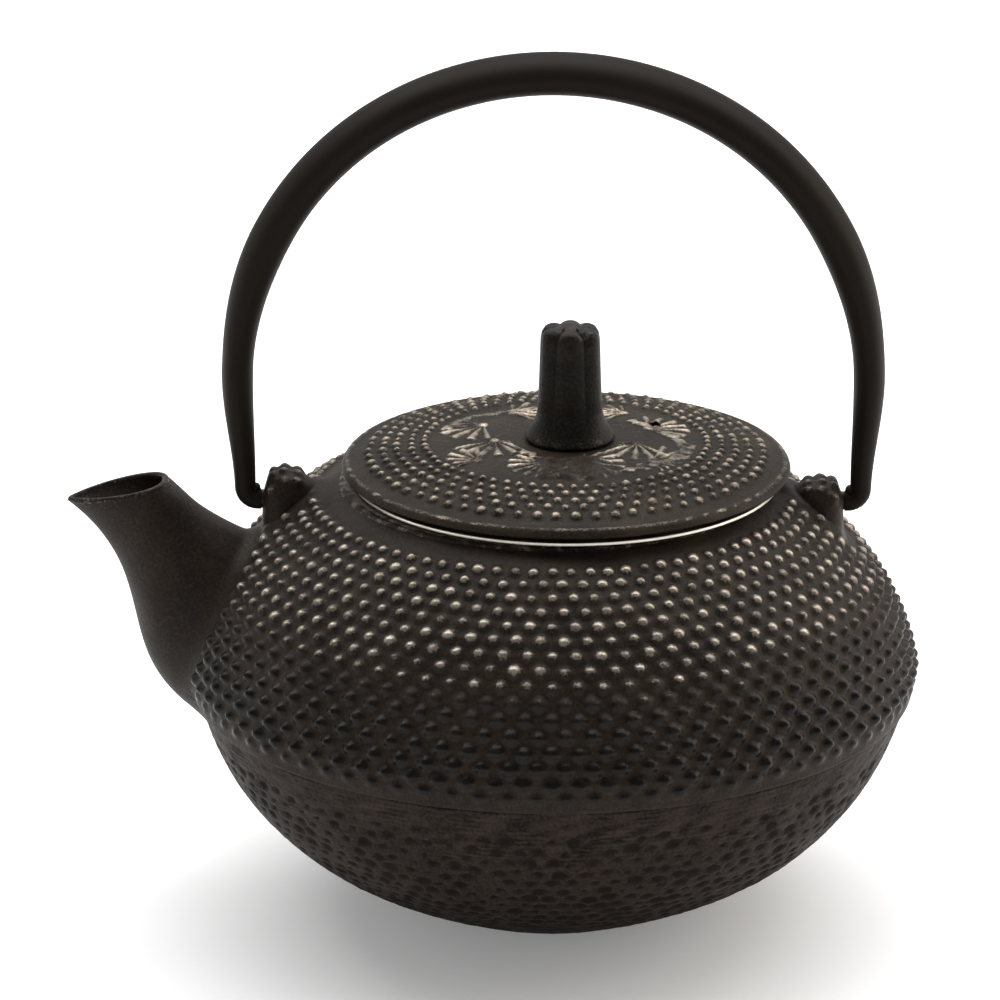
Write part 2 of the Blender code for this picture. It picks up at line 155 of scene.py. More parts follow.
# ---------------------------------------------------------------- shapes


def evenly(path, count):
    """A polyline's points, placed again at count equal steps along its length."""
    steps = np.linalg.norm(np.diff(path, axis=0), axis=1)
    along = np.concatenate([[0], np.cumsum(steps)])
    places = np.linspace(0, along[-1], count)
    return np.stack([np.interp(places, along, column) for column in path.T], axis=1)


def bezier(controls, count=400):
    """A cubic Bezier curve: four points weighted by (1-t)^3, 3t(1-t)^2, 3t^2(1-t) and t^3."""
    t = np.linspace(0, 1, count)[:, None]
    a, b, c, d = np.array(controls, float)
    return a * (1 - t) ** 3 + b * 3 * t * (1 - t) ** 2 + c * 3 * t * t * (1 - t) + d * t**3


def smooth(x):
    """0 below 0, 1 above 1, and 3x^2 - 2x^3 between."""
    x = np.clip(x, 0, 1)
    return x * x * (3 - 2 * x)


def scatter(row, place, seed):
    """A fixed number from 0 to 1 for each whole row and place: the tail of a large sine."""
    return np.modf(np.abs(np.sin(row * 12.9898 + place * 78.233 + seed * 37.719) * 43758.5453))[0]


def ripple(points, size, seed):
    """An even, random-looking field of about -1 to 1: twelve plane waves of that length, summed."""
    rng = np.random.default_rng(seed)
    directions = rng.normal(size=(12, 3))
    directions *= TURN / size / np.linalg.norm(directions, axis=1)[:, None]
    phases = rng.uniform(0, TURN, 12)
    return np.sin(points @ directions.T + phases).sum(axis=-1) / 3.5


def outward(profile):
    """Each point's normal in an (r, z) profile: its tangent turned a quarter to the right."""
    along = np.gradient(profile, axis=0)
    along /= np.linalg.norm(along, axis=1)[:, None] + 1e-9
    return np.stack([along[:, 1], -along[:, 0]], axis=1)


def turned(profile, columns, height=0.0, centre_x=0.0):
    """An (r, z) profile carried round Z: r cos, r sin and z, moved by height along its normal."""
    angle = np.arange(columns) * TURN / columns
    normal = outward(profile)
    reach = profile[:, :1] + normal[:, :1] * height
    rise = profile[:, 1:] + normal[:, 1:] * height
    rings = np.empty((len(profile), columns, 3))
    rings[..., 0] = centre_x + reach * np.cos(angle)
    rings[..., 1] = reach * np.sin(angle)
    rings[..., 2] = rise
    return rings


def studs(angle, down, radius, around, first, pitch, across, along, jitter, seed):
    """Domes in rows staggered by half a place, as a share of full height, 0 to 1.

    The row number is the distance down over the pitch and the place is the angle over the spacing.
    In the nearest row and the ones on either side the nearest dome counts: (1 - q^2)^1.5, where q is
    the distance to its middle over its own half width and half length.
    """
    best = np.zeros(np.broadcast(angle, down).shape)
    for step in (-1, 0, 1):
        row = np.round((down - first) / pitch) + step
        turn = angle / TURN * around - 0.5 * (row % 2)
        place = np.round(turn)
        seat = place % around
        slip = (scatter(row, seat, seed) - 0.5) * jitter
        drop = (scatter(row, seat, seed + 1) - 0.5) * jitter
        size = 1 + (scatter(row, seat, seed + 2) - 0.5) * jitter * 1.2
        side = (turn - place) * TURN / around * radius - slip
        length = down - first - row * pitch - drop
        q = (side / (across * size)) ** 2 + (length / (along * size)) ** 2
        best = np.maximum(best, np.clip(1 - q, 0, 1) ** 1.5 * (0.8 + 0.2 * size))
    return best


# ---------------------------------------------------------------- meshes


def ring_quads(rings, columns, loop):
    """Quads from each ring of points to the next, and from the last to the first in a loop."""
    low = np.arange(rings if loop else rings - 1)[:, None] * columns
    high = (low + columns) % (rings * columns)
    here = np.arange(columns)
    after = (here + 1) % columns
    return np.stack([low + here, low + after, high + after, high + here], axis=-1).reshape(-1, 4)


def outward_faces(points, quads, triangles):
    """The same faces, all turned over if the solid they enclose has a negative volume."""
    halves = np.concatenate([quads[:, :3], quads[:, [0, 2, 3]], triangles])
    a, b, c = (points[halves[:, i]] for i in range(3))
    if np.einsum("ij,ij->i", a, np.cross(b, c)).sum() < 0:
        return quads[:, ::-1], triangles[:, ::-1]
    return quads, triangles


def build_piece(name, points, quads, triangles, finishes, face_finish=None, fields=None, sharp=35):
    """An object at the origin whose mesh is these points, in millimetres, and faces."""
    mesh = bpy.data.meshes.new(name)
    corners = np.concatenate([quads.ravel(), triangles.ravel()]).astype(np.int32)
    starts = np.concatenate(
        [np.arange(len(quads)) * 4, len(quads) * 4 + np.arange(len(triangles)) * 3]
    )
    mesh.vertices.add(len(points))
    mesh.vertices.foreach_set("co", (points * MM).astype(np.float32).ravel())
    mesh.loops.add(len(corners))
    mesh.loops.foreach_set("vertex_index", corners)
    mesh.polygons.add(len(starts))
    mesh.polygons.foreach_set("loop_start", starts.astype(np.int32))
    if face_finish is not None:
        mesh.polygons.foreach_set("material_index", face_finish.astype(np.int32))
    mesh.update(calc_edges=True)
    for field, values in (fields or {}).items():
        attribute = mesh.attributes.new(field, "FLOAT", "POINT")
        attribute.data.foreach_set("value", values.astype(np.float32))
    for finish in finishes:
        mesh.materials.append(finish)
    mesh.shade_smooth()
    mesh.set_sharp_from_angle(angle=math.radians(sharp))
    piece = bpy.data.objects.new(name, mesh)
    bpy.context.scene.collection.objects.link(piece)
    return piece


def skin(name, rings, finishes, loop=False, band_finish=None, fields=None, sharp=35):
    """A closed skin over rings of points, each joined to the next ring by quads.

    In a loop the last ring joins the first. Otherwise each end is closed by a fan round the middle
    of its ring. band_finish gives the finish of each band between rings.
    """
    count, columns = rings.shape[:2]
    points = rings.reshape(-1, 3)
    quads = ring_quads(count, columns, loop)
    triangles = np.zeros((0, 3), int)
    caps = 0
    if not loop:
        points = np.concatenate([points, [rings[0].mean(0), rings[-1].mean(0)]])
        here = np.arange(columns)
        after = (here + 1) % columns
        first, last = count * columns, count * columns + 1
        end = (count - 1) * columns
        bottom = np.stack([after, here, np.full(columns, first)], axis=1)
        top = np.stack([end + here, end + after, np.full(columns, last)], axis=1)
        triangles = np.concatenate([bottom, top])
        caps = 2
    face_finish = None
    if band_finish is not None:
        ends = np.repeat([band_finish[0], band_finish[-1]], columns) if caps else []
        face_finish = np.concatenate([np.repeat(band_finish, columns), ends])
    values = {}
    for field, value in (fields or {}).items():
        flat = np.broadcast_to(value, (count, columns)).reshape(-1)
        values[field] = np.concatenate([flat, flat[[0, -1]][:caps]])
    quads, triangles = outward_faces(points, quads, triangles)
    return build_piece(name, points, quads, triangles, finishes, face_finish, values, sharp)


def rod(centre, direction, radius, length, columns=48):
    """Two rings round a straight line from centre along direction, for a cutter."""
    direction = np.array(direction, float)
    side = np.cross(direction, (0.3, 0.5, 0.8))
    side /= np.linalg.norm(side)
    other = np.cross(direction, side)
    angle = (np.arange(columns) * TURN / columns)[:, None]
    ring = np.array(centre) + radius * (np.cos(angle) * side + np.sin(angle) * other)
    return np.stack([ring, ring + direction * length])


def cut_away(piece, rings):
    """Cuts the solid over these rings out of a piece, and keeps the piece's own mesh and finishes."""
    cutter = skin("cutter", rings, [])
    modifier = piece.modifiers.new("cut", "BOOLEAN")
    modifier.object = cutter
    modifier.operation = "DIFFERENCE"
    modifier.solver = "MANIFOLD"
    graph = bpy.context.evaluated_depsgraph_get()
    cut = bpy.data.meshes.new_from_object(piece.evaluated_get(graph))
    whole = piece.data
    piece.modifiers.clear()
    piece.data = cut
    bpy.data.meshes.remove(whole)
    bpy.data.objects.remove(cutter)
    piece.data.set_sharp_from_angle(angle=math.radians(35))


def seated(piece, body, slot, *nodes):
    """The piece rides on a body and stands for these parts. The slot is not used."""
    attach(piece, body)
    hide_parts(*nodes)
    return piece


# ---------------------------------------------------------------- finishes


def colour(code):
    """Linear colour of an sRGB hex code."""
    parts = [int(code[i : i + 2], 16) / 255 for i in (1, 3, 5)]
    return (*[p / 12.92 if p <= 0.04045 else ((p + 0.055) / 1.055) ** 2.4 for p in parts], 1)


def add_node(tree, kind, inputs, output=0, **settings):
    """One shader node with its settings and its sockets filled or linked, and the output in use."""
    node = tree.nodes.new("ShaderNode" + kind)
    for setting, value in settings.items():
        setattr(node, setting, value)
    for socket, value in inputs.items():
        if isinstance(value, bpy.types.NodeSocket):
            tree.links.new(value, node.inputs[socket])
        else:
            node.inputs[socket].default_value = value
    return node.outputs[output]


def new_finish(name, metallic=0.0, specular=0.5):
    """An empty finish and its shader, on which the values that are even all over are set."""
    material = bpy.data.materials.new(name)
    material.use_nodes = True
    shader = material.node_tree.nodes["Principled BSDF"]
    shader.inputs["Metallic"].default_value = metallic
    shader.inputs["Specular IOR Level"].default_value = specular
    return material, shader


def surface(shader, base, roughness, relief, depth):
    """Links a finish's colour and roughness, and bumps it by relief, depth millimetres high."""
    tree = shader.id_data
    bump = add_node(tree, "Bump", {"Height": relief, "Distance": depth * MM, "Strength": 1.0})
    for socket, value in (("Base Color", base), ("Roughness", roughness), ("Normal", bump)):
        tree.links.new(value, shader.inputs[socket])


def grain_pattern(tree, size, detail=2.0, stretch=(1, 1, 1)):
    """Noise in object space whose grains are about size millimetres, longer where stretched."""
    place = add_node(tree, "TexCoord", {}, "Object")
    scaled = add_node(tree, "Mapping", {0: place, 3: tuple(1 / s for s in stretch)})
    inputs = {"Vector": scaled, "Scale": 1 / (size * MM), "Detail": detail}
    return add_node(tree, "TexNoise", inputs)


def cast_iron(name, ground, mottle, worn_and_highlight, roughness, worn_roughness, grain, depth, specular, bare):
    """Cast iron under thin lacquer: a mottled ground with a sand grain.

    The per-point attribute counts both ways from 0. Above it the iron goes to the pale colour given, and
    to bare
    metal by the share bare: real rubbing, and in places painted glints and painted light. Below it the
    colour
    goes near black: painted shade on the shoulder's lower studs, and darker pits on the bowl. Either way
    it gets glossier.
    """
    material, shader = new_finish(name, specular=specular)
    tree = material.node_tree
    blotches = grain_pattern(tree, 9.0, 4.0)
    sand = grain_pattern(tree, grain, 3.0)
    speckle = add_node(tree, "Math", {0: sand, 1: 0.55}, operation="MULTIPLY")
    mottling = add_node(tree, "Math", {0: blotches, 1: 0.45, 2: speckle}, operation="MULTIPLY_ADD")
    share = add_node(tree, "MapRange", {0: mottling, 1: 0.38, 2: 0.62, 3: 0.0, 4: 1.0})
    # This attribute holds real rubbing plus painted glints, painted light and painted shade
    rubbing_and_shading = add_node(tree, "Attribute", {}, "Fac", attribute_name="wear_and_shading")
    ragged = add_node(tree, "Math", {0: sand, 1: 0.5}, operation="SUBTRACT")
    ragged_wear_and_shading = add_node(tree, "Math", {0: ragged, 1: 0.9, 2: rubbing_and_shading}, operation="MULTIPLY_ADD")
    # Share of the pale colour: real rubbing, and also painted glints and painted light
    worn_and_lit_share = add_node(tree, "MapRange", {0: ragged_wear_and_shading, 1: 0.25, 2: 1.0, 3: 0.0, 4: 1.0})
    # Painted shade: below 0 the colour is mixed towards near black
    shade = add_node(tree, "MapRange", {0: rubbing_and_shading, 1: -0.8, 2: 0.0, 3: 1.0, 4: 0.0})
    either = add_node(tree, "Math", {0: ragged_wear_and_shading}, operation="ABSOLUTE")
    polish = {0: either, 1: 0.0, 2: 0.5, 3: roughness, 4: worn_roughness}
    ground_mix = {0: share, 6: colour(ground), 7: colour(mottle)}
    base = add_node(tree, "Mix", ground_mix, 2, data_type="RGBA")
    base = add_node(tree, "Mix", {0: shade, 6: base, 7: colour("#0c0a08")}, 2, data_type="RGBA")
    base = add_node(tree, "Mix", {0: worn_and_lit_share, 6: base, 7: colour(worn_and_highlight)}, 2, data_type="RGBA")
    surface(shader, base, add_node(tree, "MapRange", polish), sand, depth)
    if bare:
        metal = add_node(tree, "MapRange", {0: ragged_wear_and_shading, 1: 0.25, 2: 1.0, 3: 0.0, 4: bare})
        tree.links.new(metal, shader.inputs["Metallic"])
    return material


def make_finishes():
    """Every finish on the teapot, by its name."""
    finishes = {}
    # Lacquered iron: brown-black and satin, with rubbed grey stud tops; the same grey also paints glints
    # on the studs and light in the spout's throat
    finishes["lacquered_iron"] = cast_iron(
        "lacquered_cast_iron", "#18120d", "#2f261d", "#a59b8e", 0.58, 0.28, 0.5, 0.06, 0.14, 0.7
    )
    # The bowl's iron took less lacquer: warmer, greyer and duller
    finishes["dull_iron"] = cast_iron(
        "dull_cast_iron", "#140f0b", "#231b16", "#3a312b", 0.7, 0.5, 0.6, 0.06, 0.06, 0.0
    )
    # The lid is handled most: its relief is rubbed to pale grey
    finishes["rubbed_iron"] = cast_iron(
        "rubbed_cast_iron", "#15110b", "#33291d", "#b5a896", 0.58, 0.28, 0.45, 0.07, 0.14, 0.75
    )
    # The knob is dark and evenly grained
    finishes["knob_iron"] = cast_iron(
        "grained_cast_iron", "#0e0b08", "#2a231b", "#6a635c", 0.46, 0.34, 0.45, 0.12, 0.14, 0.4
    )
    finishes["enamel"] = black_enamel()
    finishes["bail_paint"] = bail_paint()
    finishes["stainless"] = brushed_steel("brushed_stainless", "#efe8dc", 0.3, 0.46)
    finishes["sieve_steel"] = brushed_steel("etched_stainless_sheet", "#b4b2ad", 0.34, 0.5)
    finishes["pin_steel"] = brushed_steel("blackened_steel_pin", "#4a4744", 0.4, 0.55)
    return finishes


def black_enamel():
    """Vitreous enamel inside the pot: glossy black with a faint orange peel."""
    material, shader = new_finish("black_vitreous_enamel")
    tree = material.node_tree
    peel = grain_pattern(tree, 1.8, 1.0)
    clouds = grain_pattern(tree, 14.0)
    shades = {0: clouds, 6: colour("#121110"), 7: colour("#1d1c1b")}
    base = add_node(tree, "Mix", shades, 2, data_type="RGBA")
    gloss = add_node(tree, "MapRange", {0: clouds, 1: 0.3, 2: 0.7, 3: 0.16, 4: 0.3})
    surface(shader, base, gloss, peel, 0.05)
    return material


def bail_paint():
    """Baked paint on the bail's tube: satin black, with a soft peel and slow clouds."""
    material, shader = new_finish("baked_satin_paint", specular=0.05)
    tree = material.node_tree
    peel = grain_pattern(tree, 1.2)
    clouds = grain_pattern(tree, 12.0, 3.0)
    shades = {0: clouds, 6: colour("#1a1612"), 7: colour("#241f1a")}
    base = add_node(tree, "Mix", shades, 2, data_type="RGBA")
    gloss = add_node(tree, "MapRange", {0: clouds, 1: 0.3, 2: 0.7, 3: 0.45, 4: 0.56})
    surface(shader, base, gloss, peel, 0.02)
    return material


def brushed_steel(name, tint, low, high):
    """Stainless sheet brushed round the axis: roughness varies from line to line.

    The lines are drawn 0.35 mm apart, wider than real brushing, so that they show.
    """
    material, shader = new_finish(name, metallic=1.0)
    tree = material.node_tree
    lines = grain_pattern(tree, 0.35, stretch=(24, 24, 1))
    stains = grain_pattern(tree, 6.0, 3.0)
    stained = tuple(c * 0.8 for c in colour(tint)[:3]) + (1,)
    base = add_node(tree, "Mix", {0: stains, 6: colour(tint), 7: stained}, 2, data_type="RGBA")
    gloss = add_node(tree, "MapRange", {0: lines, 1: 0.3, 2: 0.7, 3: low, 4: high})
    surface(shader, base, gloss, lines, 0.01)
    return material


# ---------------------------------------------------------------- spout


def spout_wall(share):
    """The spout's wall: thin at the lip, a smooth step to full a third of the way down."""
    return SPOUT_LIP_WALL + (SPOUT_WALL - SPOUT_LIP_WALL) * smooth(share * 3)


def spout_section(share):
    """Middle, half height and half width of the spout's ovals at these shares of its length."""
    low = bezier(SPOUT_UNDERSIDE, 401)
    high = bezier(SPOUT_TOP, 401)
    steps = np.linspace(0, 1, 401)
    below = np.stack([np.interp(share, steps, low[:, i]) for i in (0, 1)], axis=-1)
    above = np.stack([np.interp(share, steps, high[:, i]) for i in (0, 1)], axis=-1)
    grown = (SPOUT_ROOT_HALF_WIDTH - SPOUT_MOUTH_HALF_WIDTH) * share**1.3
    return (below + above) / 2, (above - below) / 2, SPOUT_MOUTH_HALF_WIDTH + grown


def spout_rings(share, angle, depth):
    """Ovals: middle + half height * cos + half width * sin.

    depth is 0 at the outside and 1 at the bore, which also narrows by a fifth towards the root, and
    whose wall is up to three times as thick on the low side a little way in. Near the mouth a small
    power of (1 + cos) / 2 pinches the width on the low side to a point like a leaf's.
    """
    middle, half, width = spout_section(share)
    length = np.linalg.norm(half, axis=-1)
    scale = 1 - SPOUT_TAPER * share * (depth > 0)
    step = smooth(share / 0.12) * (1 - smooth((share - 0.22) / 0.4))
    inset = depth * spout_wall(share) * (1 + 2.0 * step * (1 - np.cos(angle)) / 2)
    reach = (half / length[..., None]) * ((length - inset) * scale)[..., None]
    rings = np.empty(np.broadcast(share, angle).shape + (3,))
    rings[..., 0] = middle[..., 0] + reach[..., 0] * np.cos(angle)
    near = 1 - smooth(share * 2.2)
    side = np.sign(np.sin(angle)) * np.abs(np.sin(angle)) ** (1 - 0.2 * near)
    leaf = ((1 + np.cos(angle)) / 2 + 0.02) ** (MOUTH_POINT * near)
    rings[..., 1] = (width - inset) * scale * side * leaf
    rings[..., 2] = middle[..., 1] + reach[..., 1] * np.cos(angle)
    return rings


def spout_skin(share, angle, depth):
    """The ovals, and past the root's end the last of them carried straight on into the pot."""
    held = np.minimum(share, 1.0)
    return spout_rings(held, angle, depth) + (share - held)[..., None] * SPOUT_ROOT_WAY


def pot_radius(height, inset=0.0):
    """The pot's outer radius at a height, less inset."""
    outline = np.concatenate([bezier(BOWL_CURVE), bezier(SHOULDER_CURVE)])
    return np.interp(height, outline[:, 1], outline[:, 0]) - inset


def spout_tube(rows, depth, sunk):
    """The spout's skin from the mouth to where each angle's line is sunk that far into the pot."""
    share = np.linspace(0.3, 1.25, 600)[:, None] * np.ones(len(SPOUT_ANGLES))
    rings = spout_skin(share, SPOUT_ANGLES[None, :], depth)
    gap = np.hypot(rings[..., 0], rings[..., 1]) - pot_radius(rings[..., 2], sunk)
    ends = share[np.argmax(gap < 0, axis=0), 0]
    share = np.linspace(0, 1, rows)[:, None] * ends[None, :]
    return spout_skin(share, SPOUT_ANGLES[None, :], depth)


SPOUT_ANGLES = np.arange(160) * TURN / 160
SPOUT_TAPER = 0.2  # share by which the bore narrows
SPOUT_ROOT_WAY = np.array((70.0, 0.0, -25.0))
FOOT_LINE = spout_tube(2, 0.0, 0.0)[1]


def spout_distance(points):
    """Distance from points to the spout's foot line, negative inside it; far points get 99."""
    distance = np.full(points.shape[:-1], 99.0)
    near = (points[..., 0] < -30) & (np.abs(points[..., 1]) < 30)
    close = points[near]
    gaps = np.linalg.norm(close[:, None, :] - FOOT_LINE[None, :, :], axis=2)
    middle = FOOT_LINE.mean(0)
    around = np.arctan2(close[:, 1], close[:, 2] - middle[2])
    line_around = np.arctan2(FOOT_LINE[:, 1], FOOT_LINE[:, 2] - middle[2])
    order = np.argsort(line_around)
    line_reach = np.hypot(FOOT_LINE[:, 1], FOOT_LINE[:, 2] - middle[2])
    reach = np.interp(around, line_around[order], line_reach[order], period=TURN)
    inside = np.hypot(close[:, 1], close[:, 2] - middle[2]) < reach
    distance[near] = gaps.min(axis=1) * np.where(inside, -1, 1)
    return distance


def flared(rings, radius):
    """The spout's skin spread into a quarter-circle fillet where it nears the pot.

    A point at height h over the pot moves out from its section's middle by r - sqrt(r^2 - (r - h)^2),
    and is then set back to its height over the pot.
    """
    middle = rings.mean(axis=1, keepdims=True)
    out = rings - middle
    out /= np.linalg.norm(out, axis=2, keepdims=True)
    over = np.hypot(rings[..., 0], rings[..., 1]) - pot_radius(rings[..., 2])
    reach = np.clip(radius - over, 0, radius)
    moved = rings + out * (radius - np.sqrt(radius**2 - reach**2))[..., None]
    wide = np.hypot(moved[..., 0], moved[..., 1])
    wanted = pot_radius(moved[..., 2]) + over
    near = smooth((radius * 1.6 - over) / radius)
    moved[..., :2] *= (1 + near * (wanted / wide - 1))[..., None]
    return moved


def make_spout(finishes):
    """The spout: outside, a rounded lip, and its bore back to the pot's inner wall."""
    outside = flared(spout_tube(150, 0.0, 0.9), SPOUT_FILLET)
    bore = spout_tube(60, 1.0, POT_WALL + 0.15)
    collar = spout_tube(2, 0.7, POT_WALL + 0.15)[1:]
    turn = np.linspace(0, math.pi, 9)[1:-1][:, None, None]
    lip = outside[:1] + (bore[:1] - outside[:1]) * (1 - np.cos(turn)) / 2
    lip = lip + MOUTH_NORMAL * np.sin(turn) * 0.6
    rings = np.concatenate([outside[::-1], lip, bore, collar])
    grain = ripple(rings, 9.0, 3) * 0.12
    rings[..., 1] += grain * np.sign(rings[..., 1]) * 0.6
    wear_and_shading = np.zeros(rings.shape[:2])
    wear_and_shading[len(outside) - 2 : len(outside) + len(lip) + 1] = 0.2
    wear_and_shading += smooth(ripple(rings, 9.0, 8)) * 0.07
    throat = slice(len(outside) + len(lip), len(outside) + len(lip) + 16)
    # Painted light: the bore's low side just inside the mouth is made lighter
    wear_and_shading[throat] = 0.2 * (1 - np.cos(SPOUT_ANGLES)) / 2
    inner_bands = np.arange(len(rings)) >= len(outside) + len(lip) + 20
    piece = skin(
        "spout",
        rings,
        [finishes["lacquered_iron"], finishes["enamel"]],
        loop=True,
        band_finish=inner_bands.astype(int),
        fields={"wear_and_shading": wear_and_shading},
        sharp=50,
    )
    return seated(piece, "pot", "cast_iron", "pot_body")


def spout_cutter():
    """The hole through the pot's wall: the bore and a little more, past both faces of the wall."""
    return spout_tube(90, 0.78, POT_WALL + 6)[38:]


# ---------------------------------------------------------------- pot


def ear_clearance(points):
    """How far a point on the shoulder is from an ear's foot, in the XY plane, negative under it."""
    side = np.hypot((np.abs(points[..., 0]) - 48.0) / 6.0, points[..., 1] / (EAR_HALF_WIDTH - 0.4))
    return (side - 1) * EAR_HALF_WIDTH


def make_shoulder(finishes):
    """The upper casting: studded shoulder, neck and enamelled inside.

    Its outline is carried round Z and moved along its normal by studs, ripples and the ears' fillet.
    """
    columns = STUDS_AROUND * 8
    outer = evenly(bezier(SHOULDER_CURVE), 126)
    length = np.linalg.norm(np.diff(outer, axis=0), axis=1).sum()
    down = (length * (1 - np.linspace(0, 1, len(outer))))[:, None]
    angle = np.arange(columns) * TURN / columns
    plain = turned(outer, columns)
    low = smooth(down / LAST_STUD_ROW)
    across = 1.38 + 0.45 * low
    along = 1.35 + 0.25 * low
    radius = outer[:, :1]
    rows = (STUDS_AROUND, FIRST_STUD_ROW, STUD_ROW_PITCH)
    share = studs(angle, down, radius, *rows, across, along, STUD_JITTER, 1)
    # The studs again, set higher up each dome and more so on lower rows: the patch of painted glint on
    # each stud's upper side
    lower = down + 0.75 * low
    rubbing_and_shading = studs(angle, lower, radius, *rows, across * 0.9, along * 0.9, STUD_JITTER, 1)
    room = smooth((spout_distance(plain) - 2.0) / 1.8)
    room *= smooth(ear_clearance(plain) / 1.5)
    room *= smooth((down - FIRST_STUD_ROW + 1.6) / 0.6)
    room *= 1 - smooth((down - LAST_STUD_ROW) / 3.5) * 0.92
    share = share * room
    height = share * (0.78 + 0.34 * low)
    height += ripple(plain, 16.0, 5) * 0.1 + ripple(plain, 3.0, 6) * 0.025
    fillet = EAR_FILLET * (1 - smooth(ear_clearance(plain) / 4.5)) ** 2
    height += fillet * smooth((53 - np.abs(plain[..., 0])) / 3)
    height *= smooth(np.linspace(0, 1, len(outer))[:, None] * 60)
    height *= smooth((1 - np.linspace(0, 1, len(outer))[:, None]) * 60)
    # Real rubbing on every stud top, and painted glints on the studs' upper sides that fade out down the
    # rows
    glint_fading = smooth((1.08 - low) / 0.6)
    top = np.minimum(share * 1.5, 1) * rubbing_and_shading
    wear_and_shading = (0.15 * share + (0.95 - 0.3 * low) * glint_fading * top) * (0.9 + 0.25 * ripple(plain, 4.0, 4))
    # Painted shade: near black cores on the lower studs, left out where a painted glint sits
    wear_and_shading -= smooth(share * 3.5 - 0.3) * smooth(low * 4 - 2.3) * 0.85 * (1 - glint_fading * rubbing_and_shading)
    band = smooth((down - LAST_STUD_ROW + 1) / 2.0)
    wear_and_shading = wear_and_shading + band * (0.03 + 0.04 * ripple(plain, 4.0, 11))

    inner = evenly(bezier(((61.9, 41.0), (63.3, 52.2), (50.6, 70.3), (36.1, 75.4))), 12)[::-1]
    rim = np.array(
        ((38.1, 78.6), (37.6, 78.95), (37.0, RIM_HEIGHT), (36.2, RIM_HEIGHT), (35.6, 78.95),
         (NECK_BORE_RADIUS, 78.6), (NECK_BORE_RADIUS, 76.6))
    )
    foot = np.array(((62.0, SEAM_HEIGHT), (64.4, SEAM_HEIGHT), (64.95, 40.7)))
    profile = np.concatenate([outer, rim, inner, foot])
    heights = np.zeros((len(profile), columns))
    heights[: len(outer)] = height
    rings = turned(profile, columns, heights)
    rub_and_shading = np.zeros((len(profile), columns))
    rub_and_shading[: len(outer)] = wear_and_shading
    last = len(outer)
    rub_and_shading[last - 1 : last + 2] = 0.22 + 0.2 * ripple(rings[last - 1 : last + 2], 2.5, 12)
    rub_and_shading[last + 2 : last + 5] = 0.7 + 0.25 * ripple(rings[last + 2 : last + 5], 2.0, 13)
    enamel = np.zeros(len(profile), int)
    enamel[last + 5 : last + 5 + len(inner)] = 1
    piece = skin(
        "pot_shoulder",
        rings,
        [finishes["lacquered_iron"], finishes["enamel"]],
        loop=True,
        band_finish=enamel,
        fields={"wear_and_shading": rub_and_shading},
        sharp=60,
    )
    cut_away(piece, spout_cutter())
    return seated(piece, "pot", "cast_iron", "pot_body")


def make_bowl(finishes):
    """The lower casting: pitted outside, flat foot and enamelled inside.

    Its outline is carried round Z and moved along its normal by pits, a grain and slow ripples.
    """
    columns = 504
    outer = evenly(bezier(BOWL_CURVE), 120)
    length = np.linalg.norm(np.diff(outer, axis=0), axis=1).sum()
    down = (length * (1 - np.linspace(0, 1, len(outer))))[:, None]
    angle = np.arange(columns) * TURN / columns
    plain = turned(outer, columns)
    rows = (PITS_AROUND, FIRST_PIT_ROW, PIT_ROW_PITCH)
    pits = studs(angle, down, outer[:, :1], *rows, 1.2, 0.98, PIT_JITTER, 21)
    pits = pits * smooth((down - 3.5) / 3.0) * (1 - smooth((down - 34) / 18) * 0.75)
    room = smooth((spout_distance(plain) - 2.0) / 2.0)
    grain = ripple(plain, 1.7, 22) * 0.06 * smooth((10 - down) / 6) + ripple(plain, 2.6, 23) * 0.04
    height = (grain - 0.45 * pits) * room
    height += ripple(plain, 20.0, 24) * 0.12
    height *= smooth(np.linspace(0, 1, len(outer))[:, None] * 30)
    streaks = ripple(plain * np.array((0.12, 0.12, 1.0)), 0.9, 25)
    # Lighter near the seam and darker towards the foot: painted shade where the bowl turns under. The
    # pits are made darker as well.
    wear_and_shading = smooth((44 - down) / 26) * (0.5 + 0.2 * streaks * smooth((16 - down) / 8)) - 0.75 * pits

    foot = np.array(((0.6, 0.0), (12.0, 0.0), (FOOT_RADIUS - 2.0, 0.0), (FOOT_RADIUS - 0.6, 0.05)))
    top = np.array(((64.2, 40.7), (61.2, 40.7)))
    inner = evenly(bezier(((61.0, 40.2), (53.4, 17.8), (42.4, 12.6), (26.0, 4.6))), 34)
    floor = np.array(((22.0, FLOOR_HEIGHT), (10.0, FLOOR_HEIGHT), (0.6, FLOOR_HEIGHT)))
    profile = np.concatenate([foot, outer, top, inner, floor])
    first = len(foot)
    heights = np.zeros((len(profile), columns))
    heights[first : first + len(outer)] = height
    rub_and_shading = np.zeros((len(profile), columns))
    rub_and_shading[first : first + len(outer)] = wear_and_shading
    enamel = np.zeros(len(profile) - 1, int)
    enamel[first + len(outer) + 1 :] = 1
    piece = skin(
        "pot_bowl",
        turned(profile, columns, heights),
        [finishes["dull_iron"], finishes["enamel"]],
        band_finish=enamel,
        fields={"wear_and_shading": rub_and_shading},
        sharp=60,
    )
    cut_away(piece, spout_cutter())
    return seated(piece, "pot", "cast_iron", "pot_body")


